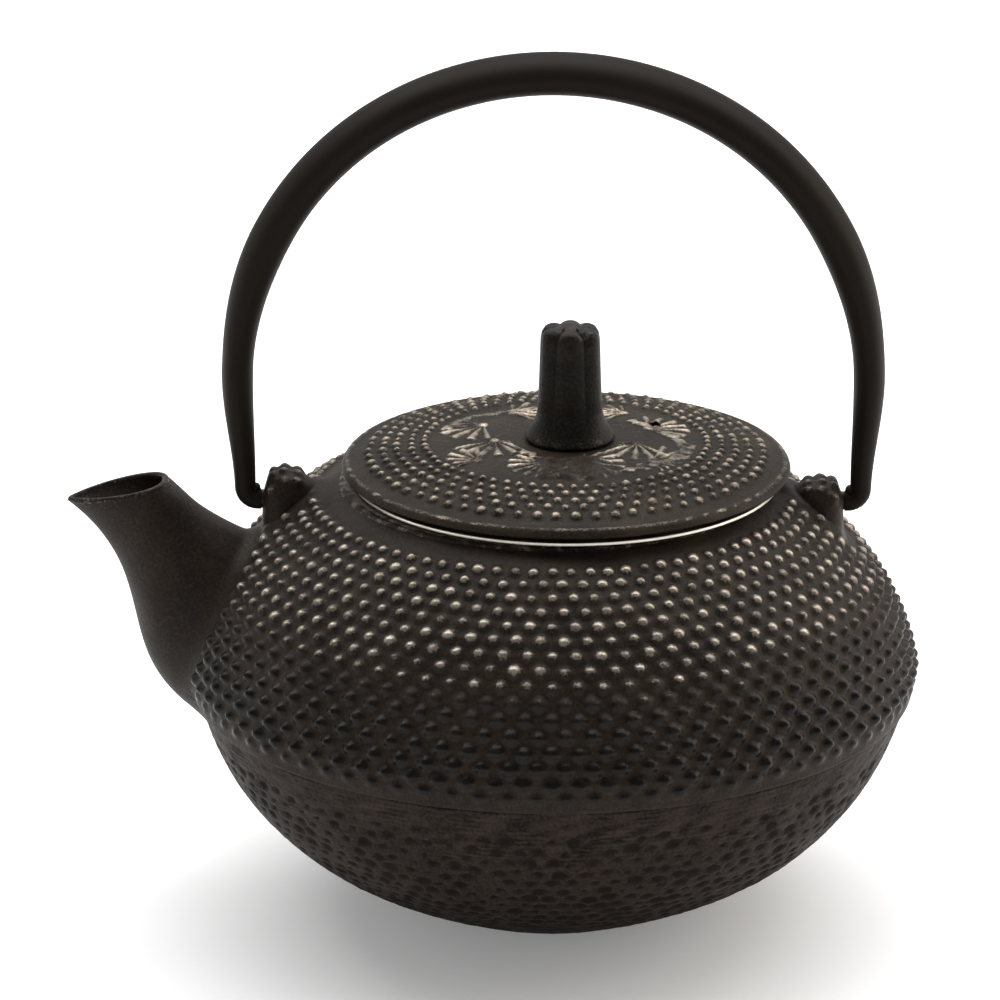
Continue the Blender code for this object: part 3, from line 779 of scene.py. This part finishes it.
def make_ear(side, finishes):
    """A rounded lug: its XZ outline, shrunk towards its middle on a superellipse along Y.

    Its width falls to half towards the lid, the right ear is flattened over its pin, and small domes
    stand on its top.
    """
    outline = np.array(
        ((52.0, 60.0), (52.1, 66.0), (52.1, 72.0), (51.9, 76.0), (51.2, 78.6), (49.9, 80.1),
         (47.8, 80.5), (45.0, 79.6), (42.6, 77.8), (40.4, 76.0), (38.4, 73.0), (38.4, 66.0),
         (42.0, 60.0), (52.0, 60.0))
    )
    outline = evenly(outline, 121)[:-1]
    middle = np.array((45.5, 68.0))
    along = np.sin(np.linspace(-1, 1, 83)[1:-1] * math.pi / 2)
    shrink = (1 - np.abs(along) ** 3.0) ** (1 / 3.0)
    rings = np.empty((len(along), len(outline), 3))
    spread = outline[None] - middle
    rings[..., 0] = side * (middle[0] + spread[..., 0] * shrink[:, None])
    taper = 0.5 + 0.5 * smooth((np.abs(rings[..., 0]) - 39.5) / 9.5)
    rings[..., 1] = along[:, None] * EAR_HALF_WIDTH * taper
    rings[..., 2] = middle[1] + spread[..., 1] * shrink[:, None]
    if side > 0:
        over = rings[..., 2] - PIVOT_HEIGHT
        rings[..., 2] -= np.clip(over, 0, None) * RIGHT_EAR_DROP
    share = np.zeros(rings.shape[:2])
    out = rings - np.array((side * middle[0], 0.0, middle[1] + 3))
    out /= np.linalg.norm(out, axis=2, keepdims=True)
    for column, x in enumerate((50.3, 47.9, 45.5)):
        for y in (-4.4, -1.8, 0.8, 3.4):
            miss = (np.abs(rings[..., 0]) - x) ** 2 + (rings[..., 1] - y - 0.6 * column) ** 2
            miss += 1e3 * (rings[..., 2] < 75)
            top = rings[np.unravel_index(np.argmin(miss), miss.shape)]
            q = ((rings - top) ** 2).sum(axis=2) / 1.4**2
            share = np.maximum(share, np.clip(1 - q, 0, 1) ** 1.5)
    rings += out * share[..., None] * 0.7
    piece = skin(
        f"ear_{'left' if side < 0 else 'right'}",
        rings,
        [finishes["lacquered_iron"]],
        fields={"wear_and_shading": share**2 * 0.5},
        sharp=60,
    )
    cut_away(piece, rod((side * PIN_HOLE_END, 0, PIVOT_HEIGHT), (side, 0, 0), PIN_HOLE_RADIUS, 12))
    return seated(piece, "pot", "cast_iron", "pot_body")


# ---------------------------------------------------------------- bail


def three_way(values, share):
    """Three values at 0, 0.5 and 1, joined by two smooth steps."""
    first = values[0] + (values[1] - values[0]) * smooth(share * 2)
    return first + (values[2] - values[1]) * smooth(share * 2 - 1)


def bail_line(count):
    """The bail's middle line in (x, z), right ear over to left, and its outward normal's angle.

    A straight end, a quarter bend, a leg that runs out on a smooth step, and an arch whose radius is
    multiplied by 1 + swell * sin(2 angle)^2.
    """
    foot = PIVOT_HEIGHT + BAIL_BEND_RADIUS
    bend = np.linspace(-math.pi / 2, 0, 30)
    rise = np.linspace(0, 1, 60)[1:-1]
    arch = np.linspace(0, math.pi / 2, 120)
    reach = BAIL_RADIUS * (1 + BAIL_SWELL * np.sin(2 * arch) ** 2)
    leg_foot = BAIL_STRAIGHT_END + BAIL_BEND_RADIUS
    bend_x = BAIL_STRAIGHT_END + BAIL_BEND_RADIUS * np.cos(bend)
    leg_x = leg_foot + (BAIL_RADIUS - leg_foot) * smooth(rise)
    parts = [
        np.stack([np.linspace(BAIL_END, BAIL_STRAIGHT_END, 5)[:-1], np.full(4, PIVOT_HEIGHT)], 1),
        np.stack([bend_x, foot + BAIL_BEND_RADIUS * np.sin(bend)], 1),
        np.stack([leg_x, foot + (BAIL_CENTRE_HEIGHT - foot) * rise], 1),
        np.stack([reach * np.cos(arch), BAIL_CENTRE_HEIGHT + reach * np.sin(arch)], 1),
    ]
    half = np.concatenate(parts)
    whole = np.concatenate([half, half[-2::-1] * (-1, 1)])
    line = evenly(whole, count)
    along = np.gradient(line, axis=0)
    return line, np.arctan2(-along[:, 0], along[:, 1])


def bail_rings(count, columns, inset):
    """Ovals square to the bail's line: thickness along its outward normal, width along Y."""
    line, turn = bail_line(count)
    full_at = (BAIL_CENTRE_HEIGHT + BAIL_RADIUS - PIVOT_HEIGHT) * BAIL_FULL_SHARE
    share = np.clip((line[:, 1] - PIVOT_HEIGHT) / full_at, 0, 1)
    thick = (three_way(BAIL_THICKNESS, share) - inset)[:, None]
    wide = (three_way(BAIL_WIDTH, share) - inset)[:, None]
    angle = np.arange(columns) * TURN / columns
    rings = np.empty((count, columns, 3))
    rings[..., 0] = line[:, :1] + thick * np.cos(angle) * np.cos(turn)[:, None]
    rings[..., 1] = wide * np.sin(angle)
    rings[..., 2] = line[:, 1:] + thick * np.cos(angle) * np.sin(turn)[:, None]
    return rings


def make_bail(finishes):
    """The bail's formed tube, open at both ends, with its weld beads and pins."""
    outer = bail_rings(420, 48, 0.0)
    inner = bail_rings(420, 48, BAIL_WALL)[::-1][::4]
    inner[0] = bail_rings(420, 48, BAIL_WALL)[-1]
    inner[-1] = bail_rings(420, 48, BAIL_WALL)[0]
    tube = skin("bail_tube", np.concatenate([outer, inner]), [finishes["bail_paint"]], loop=True)
    seated(tube, "bail", "handle_steel", "bail_handle")
    for side, word in ((-1, "left"), (1, "right")):
        make_weld_bead(side, word, finishes)
        make_pin(side, word, finishes)


def make_weld_bead(side, word, finishes):
    """A lumpy drop of weld in the inner corner of the bend: a squashed sphere with ripples."""
    turn = np.linspace(0, math.pi, 16)[1:-1][:, None]
    angle = np.arange(28) * TURN / 28
    rings = np.empty((14, 28, 3))
    rings[..., 0] = 0.85 * np.sin(turn) * np.cos(angle)
    rings[..., 1] = 1.3 * np.sin(turn) * np.sin(angle)
    rings[..., 2] = 0.8 * np.cos(turn)
    rings *= 1 + 0.07 * ripple(rings, 2.4, 31 + side)[..., None]
    height = PIVOT_HEIGHT + BAIL_THICKNESS[0] + 0.25
    rings += np.array((side * (BAIL_STRAIGHT_END + 0.35), 0, height))
    bead = skin(f"bail_weld_{word}", rings, [finishes["bail_paint"]])
    seated(bead, "bail", "handle_steel", "bail_handle")


def make_pin(side, word, finishes):
    """A turned pin along X: rounded tip in the ear's socket, spigot in the bail's end."""
    low, high = node_box(f"bail_pin_{word}")
    near, far = (low[0], high[0]) if side > 0 else (-high[0], -low[0])
    outline = np.array(
        ((near, 0.3), (near + 0.1, PIN_RADIUS - 0.35), (near + 0.35, PIN_RADIUS - 0.08),
         (near + 0.6, PIN_RADIUS), (far - 1.45, PIN_RADIUS), (far - 1.3, PIN_RADIUS - 0.1),
         (far - 1.3, 0.9), (far - 0.1, 0.9), (far, 0.6))
    )
    angle = np.arange(40) * TURN / 40
    rings = np.empty((len(outline), 40, 3))
    rings[..., 0] = side * outline[:, :1]
    rings[..., 1] = outline[:, 1:] * np.cos(angle)
    rings[..., 2] = PIVOT_HEIGHT + outline[:, 1:] * np.sin(angle)
    pin = skin(f"pivot_pin_{word}", rings, [finishes["pin_steel"]])
    seated(pin, "bail", "handle_steel", f"bail_pin_{word}")


# ---------------------------------------------------------------- lid


def needle_fans(points):
    """Fans of raised needles on the lid: |cos| of the angle round each fan's heart, within its span."""
    relief = np.zeros(points.shape[:2])
    hearts = 11
    for k in range(hearts):
        turn = TURN * (k + 0.3 * math.sin(3.1 * k)) / hearts + 0.4
        reach = 16.0 + 3.6 * math.sin(2.3 * k)
        x = points[..., 0] - SEAT_X - reach * math.cos(turn)
        y = points[..., 1] - reach * math.sin(turn)
        distance = np.hypot(x, y)
        facing = turn + 1.9 * math.sin(1.7 * k)
        angle = (np.arctan2(y, x) - facing + math.pi) % TURN - math.pi
        needles = np.abs(np.cos(angle * 7.5)) ** 3
        span = smooth((1.35 - np.abs(angle)) / 0.12)
        length = smooth((distance - 0.5) / 0.5) * smooth((7.8 + math.sin(5.1 * k) - distance) / 0.7)
        knot = smooth((1.1 - distance) / 0.5)
        relief = np.maximum(relief, np.maximum(needles * span * length, knot))
    return relief


def knotted_branches(points):
    """Low branches: bands along wavy arcs round the lid's middle, their width knotted by ripples."""
    x = points[..., 0] - SEAT_X
    y = points[..., 1]
    radius = np.hypot(x, y)
    angle = np.arctan2(y, x)
    knots = ripple(points, 2.2, 41)
    branch = np.zeros(radius.shape)
    for middle, span, reach, swing in BRANCHES:
        place = (angle - middle + math.pi) % TURN - math.pi
        line = reach + swing * np.sin(place * 2.6)
        width = 0.95 + 0.55 * knots
        inside = smooth((width - np.abs(radius - line)) / 0.35)
        branch = np.maximum(branch, inside * smooth((span / 2 - np.abs(place)) / 0.1))
    return branch


def make_lid(finishes):
    """The lid: its outline carried round Z, the deck raised by rings of studs and a low relief.

    front is the share of a plain, rippled patch that runs from the knob to the front of the relief.
    """
    columns = LID_STUDS * 8
    crown = LID_HIGH[2]
    seat = LID_SEAT_HEIGHT
    deck = evenly(bezier(((8.6, crown), (20.0, 86.2), (31.8, 85.1), (36.6, 83.1))), 92)
    middle = np.array(((0.8, crown), (5.0, crown), (7.6, crown)))
    edge = np.array(
        ((37.4, 82.86), (38.4, 82.76), (39.0, 82.8), (39.4, 82.66), (39.75, 82.3), (40.0, 81.85),
         (LID_RADIUS, 81.5), (39.95, 81.28), (39.5, 81.1), (38.4, 80.6), (37.3, 80.24), (36.6, seat),
         (33.0, seat), (31.75, seat))
    )
    skirt = np.array(
        ((31.6, 79.9), (31.6, 77.0), (31.6, 74.4), (31.3, 74.05), (30.4, 74.0), (29.5, 74.05),
         (29.2, 74.4), (29.2, 77.0), (29.2, 79.4))
    )
    ceiling = evenly(bezier(((28.9, 80.0), (21.0, 82.0), (14.0, 83.3), (8.0, 83.3))), 12)
    inner = np.array(((4.0, 83.3), (0.8, 83.3)))
    profile = np.concatenate([middle, deck, edge, skirt, ceiling, inner])
    plain = turned(deck, columns, centre_x=SEAT_X)
    angle = np.arange(columns) * TURN / columns
    radius = deck[:, :1]
    pitch = (STUD_RINGS[0] - STUD_RINGS[-1]) / (len(STUD_RINGS) - 1)
    size = 1.24 - 0.014 * (STUD_RINGS[0] - radius)
    share = studs(angle, -radius, radius, LID_STUDS, -STUD_RINGS[0], pitch, size, size, 0.3, 51)
    share = share * smooth((radius - STUD_RINGS[-1] + 1.2) / 0.4)
    share = share * smooth((STUD_RINGS[0] + 1.3 - radius) / 0.4)
    field = smooth((STUD_RINGS[-1] - 1.3 - radius) / 0.8) * smooth((radius - 9.5) / 1.0)
    relief = np.maximum(needle_fans(plain), knotted_branches(plain)) * field
    patches = smooth(ripple(plain, 8.0, 52) * 0.9 + 0.7)
    front = smooth((-plain[..., 1] - 9) / 4) * smooth((7.0 - np.abs(plain[..., 0] - KNOB_X)) / 3)
    front = front * smooth((23 - radius) / 2)
    relief = relief * (1 - front) * (0.55 + 0.45 * patches)
    height = share * 0.8 + relief * 0.45 + front * (0.7 + 0.25 * ripple(plain, 2.4, 53))
    height += ripple(plain, 12.0, 54) * 0.05 + ripple(plain, 1.6, 55) * 0.02
    wear_and_shading = share * (0.2 + share * (0.35 + 0.35 * patches)) + relief * (0.75 + 0.2 * patches) + front * 0.1
    wear_and_shading += field * 0.1 * ripple(plain, 2.0, 56)

    first = len(middle)
    heights = np.zeros((len(profile), columns))
    heights[first : first + len(deck)] = height * smooth(np.linspace(0, 1, len(deck))[:, None] * 12)
    rings = turned(profile, columns, -heights, SEAT_X)
    rub_and_shading = np.zeros((len(profile), columns))
    rub_and_shading[first : first + len(deck)] = wear_and_shading
    rim = slice(first + len(deck) + 2, first + len(deck) + 4)
    rub_and_shading[rim] = 0.3 + 0.3 * ripple(rings[rim], 3.0, 57) * ripple(rings[rim], 11.0, 58)
    piece = skin("lid_casting", rings, [finishes["rubbed_iron"]], fields={"wear_and_shading": rub_and_shading}, sharp=60)
    cut_away(piece, rod((SEAT_X + VENT_X, VENT_Y, 78), (0, 0, 1), VENT_RADIUS, 14, 32))
    cut_away(piece, rod((KNOB_X, 0, 78), (0, 0, 1), SCREW_HOLE_RADIUS, 14, 32))
    return seated(piece, "lid", "cast_iron", "lid")


def make_knob(finishes):
    """The knob: a six-lobed column on a flared foot, domed like a flower at the top.

    The profile is (height, radius, depth of the lobes), and each ring's radius is the profile's plus
    that depth times 2 |cos 3a|^0.7 - 1.
    """
    profile = np.array(
        ((0.0, 7.9, 0.0), (0.3, 8.05, 0.0), (0.8, 7.85, 0.0), (2.0, 7.0, 0.0), (3.6, 6.2, 0.06),
         (5.2, 5.8, 0.1), (6.8, 5.75, 0.2), (11.0, 5.55, 0.28), (16.0, 5.38, 0.32), (18.2, 5.28, 0.36),
         (19.2, 5.02, 0.4), (19.9, 4.45, 0.42), (20.3, 3.7, 0.36), (20.35, 3.0, 0.3), (20.45, 2.5, 0.15),
         (20.8, 1.9, 0.05), (21.05, 1.2, 0.0), (21.18, 0.4, 0.0))
    )
    profile = evenly(profile, 120)
    columns = 240
    angle = np.arange(columns) * TURN / columns
    lobes = np.abs(np.cos(3 * (angle + math.pi / 2))) ** 0.7 * 2 - 1
    reach = profile[:, 1:2] + profile[:, 2:3] * lobes
    rings = np.empty((len(profile), columns, 3))
    rings[..., 0] = KNOB_X + reach * np.cos(angle)
    rings[..., 1] = reach * np.sin(angle)
    lift = smooth((profile[:, :1] - 18.5) / 1.5) * smooth((profile[:, 1:2] - 2.0) / 1.0)
    rings[..., 2] = np.minimum(KNOB_LOW[2] + profile[:, :1] + 0.3 * lobes * lift, KNOB_HIGH[2])
    wear_and_shading = smooth((profile[:, :1] - 18.6) / 1.2) * 0.3 + smooth((1.8 - profile[:, :1]) / 0.8) * 0.35
    wear_and_shading = wear_and_shading * (0.6 + 0.6 * ripple(rings, 3.0, 61))
    piece = skin("fluted_knob", rings, [finishes["knob_iron"]], fields={"wear_and_shading": wear_and_shading}, sharp=60)
    return seated(piece, "lid", "cast_iron", "lid_knob")


# ---------------------------------------------------------------- infuser


def make_infuser_flange(finishes):
    """The flange and collar: a pressed sheet's profile, its outer edge rounded, carried round Z."""
    low, high = FLANGE_UNDERSIDE, FLANGE_TOP
    middle = (low + high) / 2
    edge = np.array(
        ((FLANGE_RADIUS - 0.1, low), (FLANGE_RADIUS - 0.02, low + 0.06), (FLANGE_RADIUS, low + 0.14),
         (FLANGE_RADIUS, middle), (FLANGE_RADIUS, high - 0.14), (FLANGE_RADIUS - 0.02, high - 0.06),
         (FLANGE_RADIUS - 0.1, high))
    )
    outer = COLLAR_RADIUS
    inner = outer - SHEET
    outside = ((outer, 70.05), (outer, 74.0), (outer, 78.7), (outer + 0.2, 79.15), (outer + 0.6, low))
    inside = (
        (outer + 0.5, high), (outer - 0.1, 79.75), (inner + 0.1, 79.4), (inner, 78.9),
        (inner, 74.0), (inner, 70.05), (inner + 0.3, 70.0),
    )
    rings = turned(np.concatenate([outside, edge, inside]), 256, centre_x=SEAT_X)
    piece = skin("infuser_flange", rings, [finishes["stainless"]], loop=True)
    return seated(piece, "infuser", "stainless", "infuser_rim")


def make_base_ring(finishes):
    """The ring under the basket: a pressed channel's profile, its corners rounded, carried round Z."""
    outer = RING_RADIUS
    inner = outer - SHEET
    low, high = RING_LOW[2], RING_HIGH[2]
    profile = np.array(
        ((29.0, low + 0.1), (29.2, low), (outer - 0.6, low), (outer - 0.15, low + 0.15),
         (outer, low + 0.6), (outer, high - 0.1), (outer - 0.3, high), (inner, high - 0.1),
         (inner, low + 0.9), (inner - 0.3, low + SHEET), (29.2, low + SHEET), (29.0, low + SHEET - 0.1))
    )
    rings = turned(profile, 240, centre_x=SEAT_X)
    piece = skin("infuser_foot_ring", rings, [finishes["stainless"]], loop=True)
    return seated(piece, "infuser", "stainless", "infuser_base_ring")


def sieve_faces(middles, step, row, share):
    """Hexagonal cells round holes: six corners on the cell's edge, six round its hole, six quads."""
    turn = math.pi / 6 + np.arange(6) * TURN / 6
    corner = np.stack([np.cos(turn) * step / math.sqrt(3), np.sin(turn) * row / 1.5], axis=1)
    outer = middles[:, None, :] + corner
    inner = middles[:, None, :] + corner * share
    count = len(middles)
    here = np.arange(6)
    after = (here + 1) % 6
    base = (np.arange(count) * 12)[:, None]
    quads = np.stack([base + here, base + after, base + 6 + after, base + 6 + here], axis=-1)
    return np.concatenate([outer, inner], axis=1).reshape(-1, 2), quads.reshape(-1, 4)


def merged(points, quads):
    """Points that lie on each other made one, with the faces that use them."""
    keys = np.round(points / 0.01).astype(np.int64)
    _, first, index = np.unique(keys, axis=0, return_index=True, return_inverse=True)
    return points[first], index.reshape(-1)[quads]


def thicken(piece, thickness):
    """A wall behind the faces, of the sheet's thickness."""
    wall = piece.modifiers.new("sheet", "SOLIDIFY")
    wall.thickness = thickness * MM
    wall.offset = -1


def make_basket_wall(finishes):
    """Perforated sheet rolled to a cylinder: hexagonal cells on angle and height."""
    low, high = BASKET_LOW[2], BASKET_HIGH[2]
    around = round(TURN * BASKET_RADIUS / HOLE_PITCH)
    rows = 25
    row = (high - low) / (rows + 1 / 3)
    places, levels = np.meshgrid(np.arange(around), np.arange(rows))
    middles = np.stack([(places + 0.5 * (levels % 2)), levels + 2 / 3], axis=-1).reshape(-1, 2)
    flat, quads = sieve_faces(middles, 1.0, 1.0, HOLE_SHARE)
    flat[:, 1] = np.clip(flat[:, 1] * row + low, low, high)
    angle = flat[:, 0] * TURN / around
    points = np.stack(
        [SEAT_X + BASKET_RADIUS * np.cos(angle), BASKET_RADIUS * np.sin(angle), flat[:, 1]], axis=1
    )
    points, quads = merged(points, quads)
    none = np.zeros((0, 3), int)
    piece = build_piece("infuser_basket_wall", points, quads, none, [finishes["sieve_steel"]], sharp=40)
    thicken(piece, 0.4)
    return seated(piece, "infuser", "stainless_mesh", "infuser_mesh_wall")


def make_basket_floor(finishes):
    """Perforated disc: hexagonal cells, with the outermost corners moved out to the disc's edge."""
    pitch = HOLE_PITCH
    row = pitch * math.sqrt(3) / 2
    reach = int(SIEVE_RADIUS / row) + 2
    places, levels = np.meshgrid(np.arange(-reach, reach + 1), np.arange(-reach, reach + 1))
    middles = np.stack([(places + 0.5 * (levels % 2)) * pitch, levels * row], axis=-1).reshape(-1, 2)
    middles = middles[np.hypot(*middles.T) < SIEVE_RADIUS - 1.6]
    flat, quads = sieve_faces(middles, pitch, row, HOLE_SHARE)
    flat, quads = merged(flat, quads)
    edges = np.concatenate([quads[:, [i, (i + 1) % 4]] for i in range(4)])
    edges, uses = np.unique(np.sort(edges, axis=1), axis=0, return_counts=True)
    border = np.unique(edges[uses == 1])
    distance = np.hypot(*flat.T)
    border = border[distance[border] > SIEVE_RADIUS - 3.2]
    hole_rim = np.zeros(len(flat), bool)
    hole_rim[quads[:, 2:]] = True
    border = border[~hole_rim[border]]
    flat[border] *= ((SIEVE_RADIUS - 0.05) / distance[border])[:, None]
    points = np.stack([SEAT_X + flat[:, 0], flat[:, 1], np.full(len(flat), SIEVE_HIGH[2])], axis=1)
    none = np.zeros((0, 3), int)
    piece = build_piece("infuser_basket_floor", points, quads, none, [finishes["sieve_steel"]], sharp=40)
    thicken(piece, 0.4)
    return seated(piece, "infuser", "stainless_mesh", "infuser_mesh_bottom")


# ---------------------------------------------------------------- studio


def make_floor():
    """A wide white sheet with the faintest unevenness and a weak light of its own."""
    mesh = bpy.data.meshes.new("studio_floor")
    half = 6.0
    corners = [(-half, -half, 0), (half, -half, 0), (half, half, 0), (-half, half, 0)]
    mesh.from_pydata(corners, [], [(0, 1, 2, 3)])
    floor = bpy.data.objects.new("studio_floor", mesh)
    bpy.context.scene.collection.objects.link(floor)
    material, shader = new_finish("matt_white_paper", specular=0.1)
    tree = material.node_tree
    shades = {0: grain_pattern(tree, 300.0), 6: colour("#f7f7f7"), 7: colour("#fafafa")}
    tone = add_node(tree, "Mix", shades, 2, data_type="RGBA")
    tree.links.new(tone, shader.inputs["Base Color"])
    shader.inputs["Roughness"].default_value = 0.9
    shader.inputs["Emission Color"].default_value = colour("#ffffff")
    shader.inputs["Emission Strength"].default_value = 0.2
    mesh.materials.append(material)


def add_softbox(name, place, aim, width, height, watts, tint="#ffffff"):
    """A rectangular soft light at place, turned to face aim, not seen itself."""
    data = bpy.data.lights.new(name, "AREA")
    data.shape = "RECTANGLE"
    data.size, data.size_y = width, height
    data.energy = watts
    data.color = colour(tint)[:3]
    lamp = bpy.data.objects.new(name, data)
    lamp.location = place
    lamp.rotation_euler = (Vector(aim) - Vector(place)).to_track_quat("-Z", "Y").to_euler()
    lamp.visible_camera = False
    bpy.context.scene.collection.objects.link(lamp)


def make_lights():
    """White surroundings behind and over the pot, darker in front."""
    middle = (0, 0, 0.06)
    add_softbox("overhead_back", (0, 0.45, 1.2), middle, 2.2, 1.2, 30)
    add_softbox("front_fill", (0, -1.6, 0.9), middle, 1.6, 0.5, 1)
    add_softbox("back_wall", (0, 1.15, 0.35), middle, 2.4, 0.6, 2.2)
    add_softbox("right_side", (0.95, 0.25, 0.45), middle, 0.7, 0.8, 6, "#fff6ec")
    add_softbox("left_side", (-0.95, 0.25, 0.45), middle, 0.7, 0.8, 1.6)
    world = bpy.data.worlds.new("studio_air")
    world.use_nodes = True
    background = world.node_tree.nodes["Background"]
    background.inputs["Color"].default_value = colour("#ffffff")
    background.inputs["Strength"].default_value = 0.22
    bpy.context.scene.world = world


def make_camera():
    """A long lens a little above the pot, from the front."""
    data = bpy.data.cameras.new("camera")
    data.sensor_width = 36.0
    data.lens = 178.4
    camera = bpy.data.objects.new("camera", data)
    camera.location = (0.0, -0.84078, 0.36106)
    aim = Vector((-0.00945, 0.0, 0.07466))
    camera.rotation_euler = (aim - camera.location).to_track_quat("-Z", "Y").to_euler()
    bpy.context.scene.collection.objects.link(camera)
    bpy.context.scene.camera = camera


def main():
    finishes = make_finishes()
    make_shoulder(finishes)
    make_bowl(finishes)
    make_spout(finishes)
    for side in (-1, 1):
        make_ear(side, finishes)
    make_bail(finishes)
    make_infuser_flange(finishes)
    make_base_ring(finishes)
    make_basket_wall(finishes)
    make_basket_floor(finishes)
    make_lid(finishes)
    make_knob(finishes)
    for name in ("knob_washer", "knob_screw"):
        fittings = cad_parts[name].data.materials
        fittings.clear()
        fittings.append(finishes["stainless"])
    make_floor()
    make_lights()
    make_camera()
    bpy.context.scene.view_settings.view_transform = "Standard"


main()
